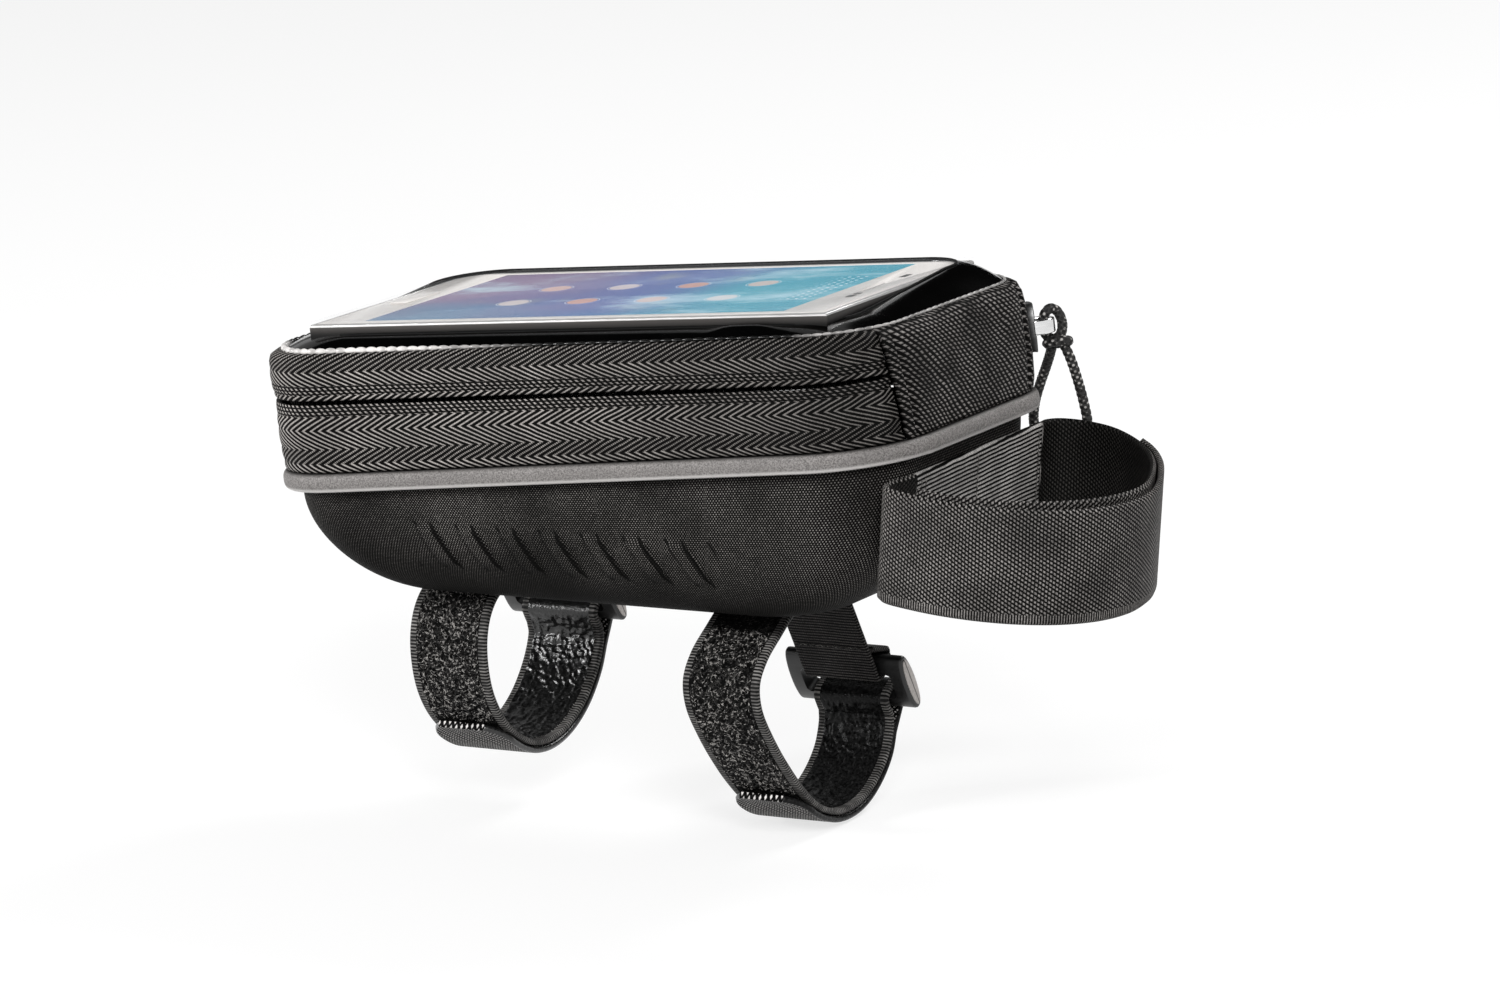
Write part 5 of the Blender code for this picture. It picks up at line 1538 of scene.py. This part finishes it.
def make_slider(metal, dark_metal, cord_cloth):
    centre = Vector((FLANGE[0] - FLANGE[2], FLANGE[1] - FLANGE[2], SLIDER_HEIGHT))
    outward = Vector((math.cos(SLIDER_ANGLE), math.sin(SLIDER_ANGLE), 0.0))
    along = Vector((-math.sin(SLIDER_ANGLE), math.cos(SLIDER_ANGLE), 0.0))
    face = FLANGE[2] - GUSSET_INSET + GUSSET_BULGE + GAP + 1.8 * MM
    root, crown = -0.9 * MM, 4.4 * MM
    half_height = 5.7
    rows = []
    for height in np.linspace(-half_height, half_height, 15):
        half_turn = 9.5 * (1 - 0.35 * (abs(height) / half_height) ** 3)
        row = []
        for share in np.linspace(-1, 1, 17):
            angle = SLIDER_ANGLE + math.radians(half_turn * share)
            reach = face - 0.25 * MM * (abs(share) ** 4)
            row.append(centre + Vector((reach * math.cos(angle), reach * math.sin(angle), height * MM)))
        rows.append(row)
    plate = sheet_mesh("zip_slider_plate", placed(rows, BAG))
    thicken(plate, 1.6 * MM)
    round_edges(plate, 0.35 * MM)
    dress(plate, dark_metal, "slider", ["zip_slider"])

    arch = []
    for step in range(33):
        angle = math.radians(180 - 180 * step / 32)
        reach = root + (crown - root) * math.sin(angle) ** 0.6
        arch.append(centre + (face + reach) * outward + 3.4 * MM * math.cos(angle) * along)
    rise = Vector((0, 0, 1.7 * MM))
    rows = [[p + rise * t for p in arch] for t in np.linspace(-1, 1, 5)]
    bail = sheet_mesh("zip_slider_bail", placed(rows, BAG))
    thicken(bail, 1.0 * MM, 0.0)
    round_edges(bail, 0.3 * MM)
    dress(bail, metal, "slider", ())

    seat = centre + (face + crown) * outward
    ring = []
    for step in range(73):
        angle = 2 * math.pi * step / 72
        ring.append(
            seat + 2.3 * MM * math.cos(angle) * outward + Vector((0, 0, 3.5 * MM * math.sin(angle)))
            + 0.4 * MM * math.sin(2 * angle) * along
        )
    knot = tube("lark_head_knot", placed(ring, BAG), CORD / 2, relief=BRAID_RELIEF, closed=True)
    weld(knot)
    dress(knot, cord_cloth, "slider", ["cord_knot"])
    route = smooth_route(millimetres(PULL_CORD_ROUTE), 0.3 * MM)
    middle = 0.5 * (route[0] + route[-1]) + np.array([0, 0, 0.5 * MM])
    side = (route[-1] - route[0]) / np.linalg.norm(route[-1] - route[0])
    forth = np.cross(side, (0, 0, 1))
    turns = [
        middle + 2.5 * MM * math.cos(a) * side + 1.75 * MM * math.sin(a) * forth
        + np.array([0, 0, 0.5 * MM * math.sin(a)])
        for a in np.linspace(0, 2 * math.pi, 61)
    ]
    bight = tube("lark_head_bight", turns, CORD / 2, relief=BRAID_RELIEF, closed=True)
    weld(bight)
    dress(bight, cord_cloth, "slider", ())
    cord = tube("pull_cord_line", route, CORD / 2, relief=BRAID_RELIEF)
    dress(cord, cord_cloth, "slider", ["pull_cord"])


# Floor, light and camera
def white_background(tree, plain, white, target):
    """Camera, mirror and glass rays see the white of the background; other rays keep the plain shading."""
    rays = tree.nodes.new("ShaderNodeLightPath")
    most = Signal(tree, rays.outputs["Is Camera Ray"]).most(Signal(tree, rays.outputs["Is Glossy Ray"]))
    most = most.most(Signal(tree, rays.outputs["Is Transmission Ray"]))
    mix = tree.nodes.new("ShaderNodeMixShader")
    tree.links.new(most.socket, mix.inputs[0])
    tree.links.new(plain, mix.inputs[1])
    tree.links.new(white, mix.inputs[2])
    tree.links.new(mix.outputs[0], target)


def make_stage():
    bpy.ops.object.select_all(action="DESELECT")
    bpy.ops.mesh.primitive_plane_add(size=14.0, location=(0, 0, FLOOR_HEIGHT))
    floor = bpy.context.active_object
    floor.name = "floor"
    finish = Finish("floor_pale", grey(0.42), 0.9, Specular_IOR_Level=0.1)
    glow = finish.node("Emission")
    glow.inputs["Color"].default_value = (1, 1, 1, 1)
    glow.inputs["Strength"].default_value = 0.72
    shaded = finish.node("BsdfDiffuse")
    shaded.inputs["Color"].default_value = (*grey(0.32), 1)
    both = finish.node("AddShader")
    finish.tree.links.new(glow.outputs[0], both.inputs[0])
    finish.tree.links.new(shaded.outputs[0], both.inputs[1])
    surface = finish.tree.nodes["Material Output"].inputs["Surface"]
    white_background(finish.tree, finish.shader.outputs[0], both.outputs[0], surface)
    floor.data.materials.append(finish.material)

    world = bpy.data.worlds.new("studio")
    bpy.context.scene.world = world
    world.use_nodes = True
    tree = world.node_tree
    tree.nodes.clear()
    out = tree.nodes.new("ShaderNodeOutputWorld")
    soft, white = tree.nodes.new("ShaderNodeBackground"), tree.nodes.new("ShaderNodeBackground")
    for light, strength in ((soft, 0.30), (white, 1.0)):
        light.inputs["Color"].default_value = (1, 1, 1, 1)
        light.inputs["Strength"].default_value = strength
    white_background(tree, soft.outputs[0], white.outputs[0], out.inputs["Surface"])


def upright_card(y, left, right, low, high):
    return [(left, y, low), (right, y, low), (right, y, high), (left, y, high)]


def dark_flag(name, corners, glow):
    """A dark card that only mirror-like surfaces see, as a photographer sets beside gloss black."""
    mesh = bpy.data.meshes.new(name)
    mesh.from_pydata(corners, [], [(0, 1, 2, 3)])
    card = linked(name, mesh)
    finish = Finish(
        name, grey(0.004), 1.0, Specular_IOR_Level=0.0, Emission_Color=(1, 1, 1, 1), Emission_Strength=glow,
    )
    mesh.materials.append(finish.material)
    card.visible_camera = card.visible_diffuse = card.visible_shadow = card.visible_transmission = False


def area_light(name, location, aim, size, power):
    data = bpy.data.lights.new(name, "AREA")
    data.shape = "RECTANGLE"
    data.size, data.size_y = size
    data.energy = power
    lamp = linked(name, data)
    lamp.location = location
    lamp.rotation_euler = (Vector(aim) - Vector(location)).to_track_quat("-Z", "Y").to_euler()


def make_camera():
    target = Vector((0.0235, 0.0, 0.020))
    back = Vector((0.4911, -0.8472, 0.2028)).normalized()
    level = Vector((0.8652, 0.5015, 0.0))
    up = back.cross(level).normalized()
    roll = math.radians(-2.6)
    right = math.cos(roll) * level + math.sin(roll) * up
    top = back.cross(right)
    data = bpy.data.cameras.new("camera")
    data.lens, data.sensor_width = 157.5, 36.0
    data.clip_start, data.clip_end = 0.05, 50.0
    camera = linked("camera", data)
    distance = 1.5
    place = target + back * distance
    camera.matrix_world = Matrix((
        (right[0], top[0], back[0], place[0]), (right[1], top[1], back[1], place[1]),
        (right[2], top[2], back[2], place[2]), (0, 0, 0, 1),
    ))
    bpy.context.scene.camera = camera


def main():
    bpy.ops.object.select_all(action="DESELECT")
    make_camera()
    inside = lining_cloth("tape_back", grey(0.012))
    lining = lining_cloth("grey_lining", (0.05, 0.05, 0.055))
    make_shell(shell_fabric(), lining)
    make_piping(reflective_band())
    nylon = plain_plastic(
        "coil_nylon_black", grey(0.003), grey(0.012), 0.55, Specular_IOR_Level=0.15,
    )
    make_gusset(inside, front_weave(), nylon)
    make_window(
        gloss_frame(), clear_film(), scalloped_edge(),
        plain_plastic("window_seal", grey(0.002), grey(0.006), 0.55, Specular_IOR_Level=0.1),
    )
    foam = lining_cloth("pad_foam", (0.03, 0.03, 0.032))
    make_lining(foam, lining_cloth("pocket_lining", (0.04, 0.04, 0.045)))
    make_phone(
        phone_front(), phone_metal("phone_rim_silver", (0.82, 0.81, 0.80), 0.3, 0.6, True), screen_picture(),
        plain_plastic("sensor_black", grey(0.01), grey(0.03), 0.3),
    )
    pile_cloth = pile("loop_pile")
    stitch = pale_thread("stitching_thread", (0.05, 0.048, 0.045), (0.30, 0.285, 0.27))
    make_straps(
        # painted shade: the front strap's rubber is a less reflective copy of the rear's, standing in for the
        # shade inside the front loop
        pile_cloth, {"rear": rubber("pebbled_rubber", 0.6), "front": rubber("pebbled_rubber_shaded_copy", 0.12)},
        hook_back(), ribbed_edge(),
        plain_plastic("satin_black", grey(0.004), grey(0.014), 0.32),
        cap_plastic(),
        ribbed_webbing("tab_webbing", (0.17, 0.16, 0.155), False),
        pale_thread("loop_thread", (0.004, 0.0038, 0.0036), (0.46, 0.44, 0.42)), stitch,
    )
    head_web = webbing("head_webbing", 0.98, 0.76, 0.35, (0.37, 0.35, 0.335))
    # painted shade: a darker copy of the head webbing for the loop's inner faces
    shaded_inner_web = webbing("head_webbing_inside_painted_shade", 1.05, 0.74, 0.35, (0.05, 0.047, 0.044))
    patch_web = ribbed_webbing("patch_webbing", (0.80, 0.77, 0.745), True)
    make_head_loop(head_web, shaded_inner_web, patch_web, stitch)
    make_slider(
        phone_metal("bright_bail", grey(0.85), 0.15), phone_metal("slider_dark", grey(0.16), 0.35),
        braid(),
    )
    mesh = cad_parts["earpiece_mesh"].data
    mesh.materials.clear()
    mesh.materials.append(plain_plastic("earpiece_grille", grey(0.02), grey(0.2), 0.4, grain=4.0))
    make_stage()
    for name, corners, glow in (
        ("dark_ceiling", [(-3, -3, 1.7), (3, -3, 1.7), (3, 3, 1.7), (-3, 3, 1.7)], 0.0),
        ("dark_back", upright_card(1.5, -0.75, 1.6, 0.16, 1.7), 0.0),
        ("dim_back", upright_card(1.5, -3, -0.75, 0.16, 0.40), 0.10),
        ("grey_back", upright_card(1.5, -3, -0.75, 0.40, 0.85), 0.55),
        ("dusk_back", upright_card(1.5, -3, -0.75, 0.85, 1.7), 0.3),
        ("dusk_ceiling", [(-3, 0.75, 1.68), (-0.55, 0.75, 1.68), (-0.75, 1.5, 1.68), (-3, 1.5, 1.68)], 0.3),
        ("dark_side", upright_card(-2.4, -1.9, -0.5, 0.5, 1.7), 0.0),
    ):
        dark_flag(name, corners, glow)
    for name, location, aim, size, power in (
        ("key", (0.95, -1.35, 1.0), (0, 0, 0.02), (0.6, 0.6), 24),
        ("side", (-1.5, -1.1, 0.6), (0, 0, 0.0), (0.5, 0.5), 22),
        ("rim", (0.5, 1.2, 1.3), (0.03, 0, 0.02), (0.7, 0.5), 14),
    ):
        area_light(name, location, aim, size, power)
    bpy.context.scene.view_settings.view_transform = "Standard"


main()
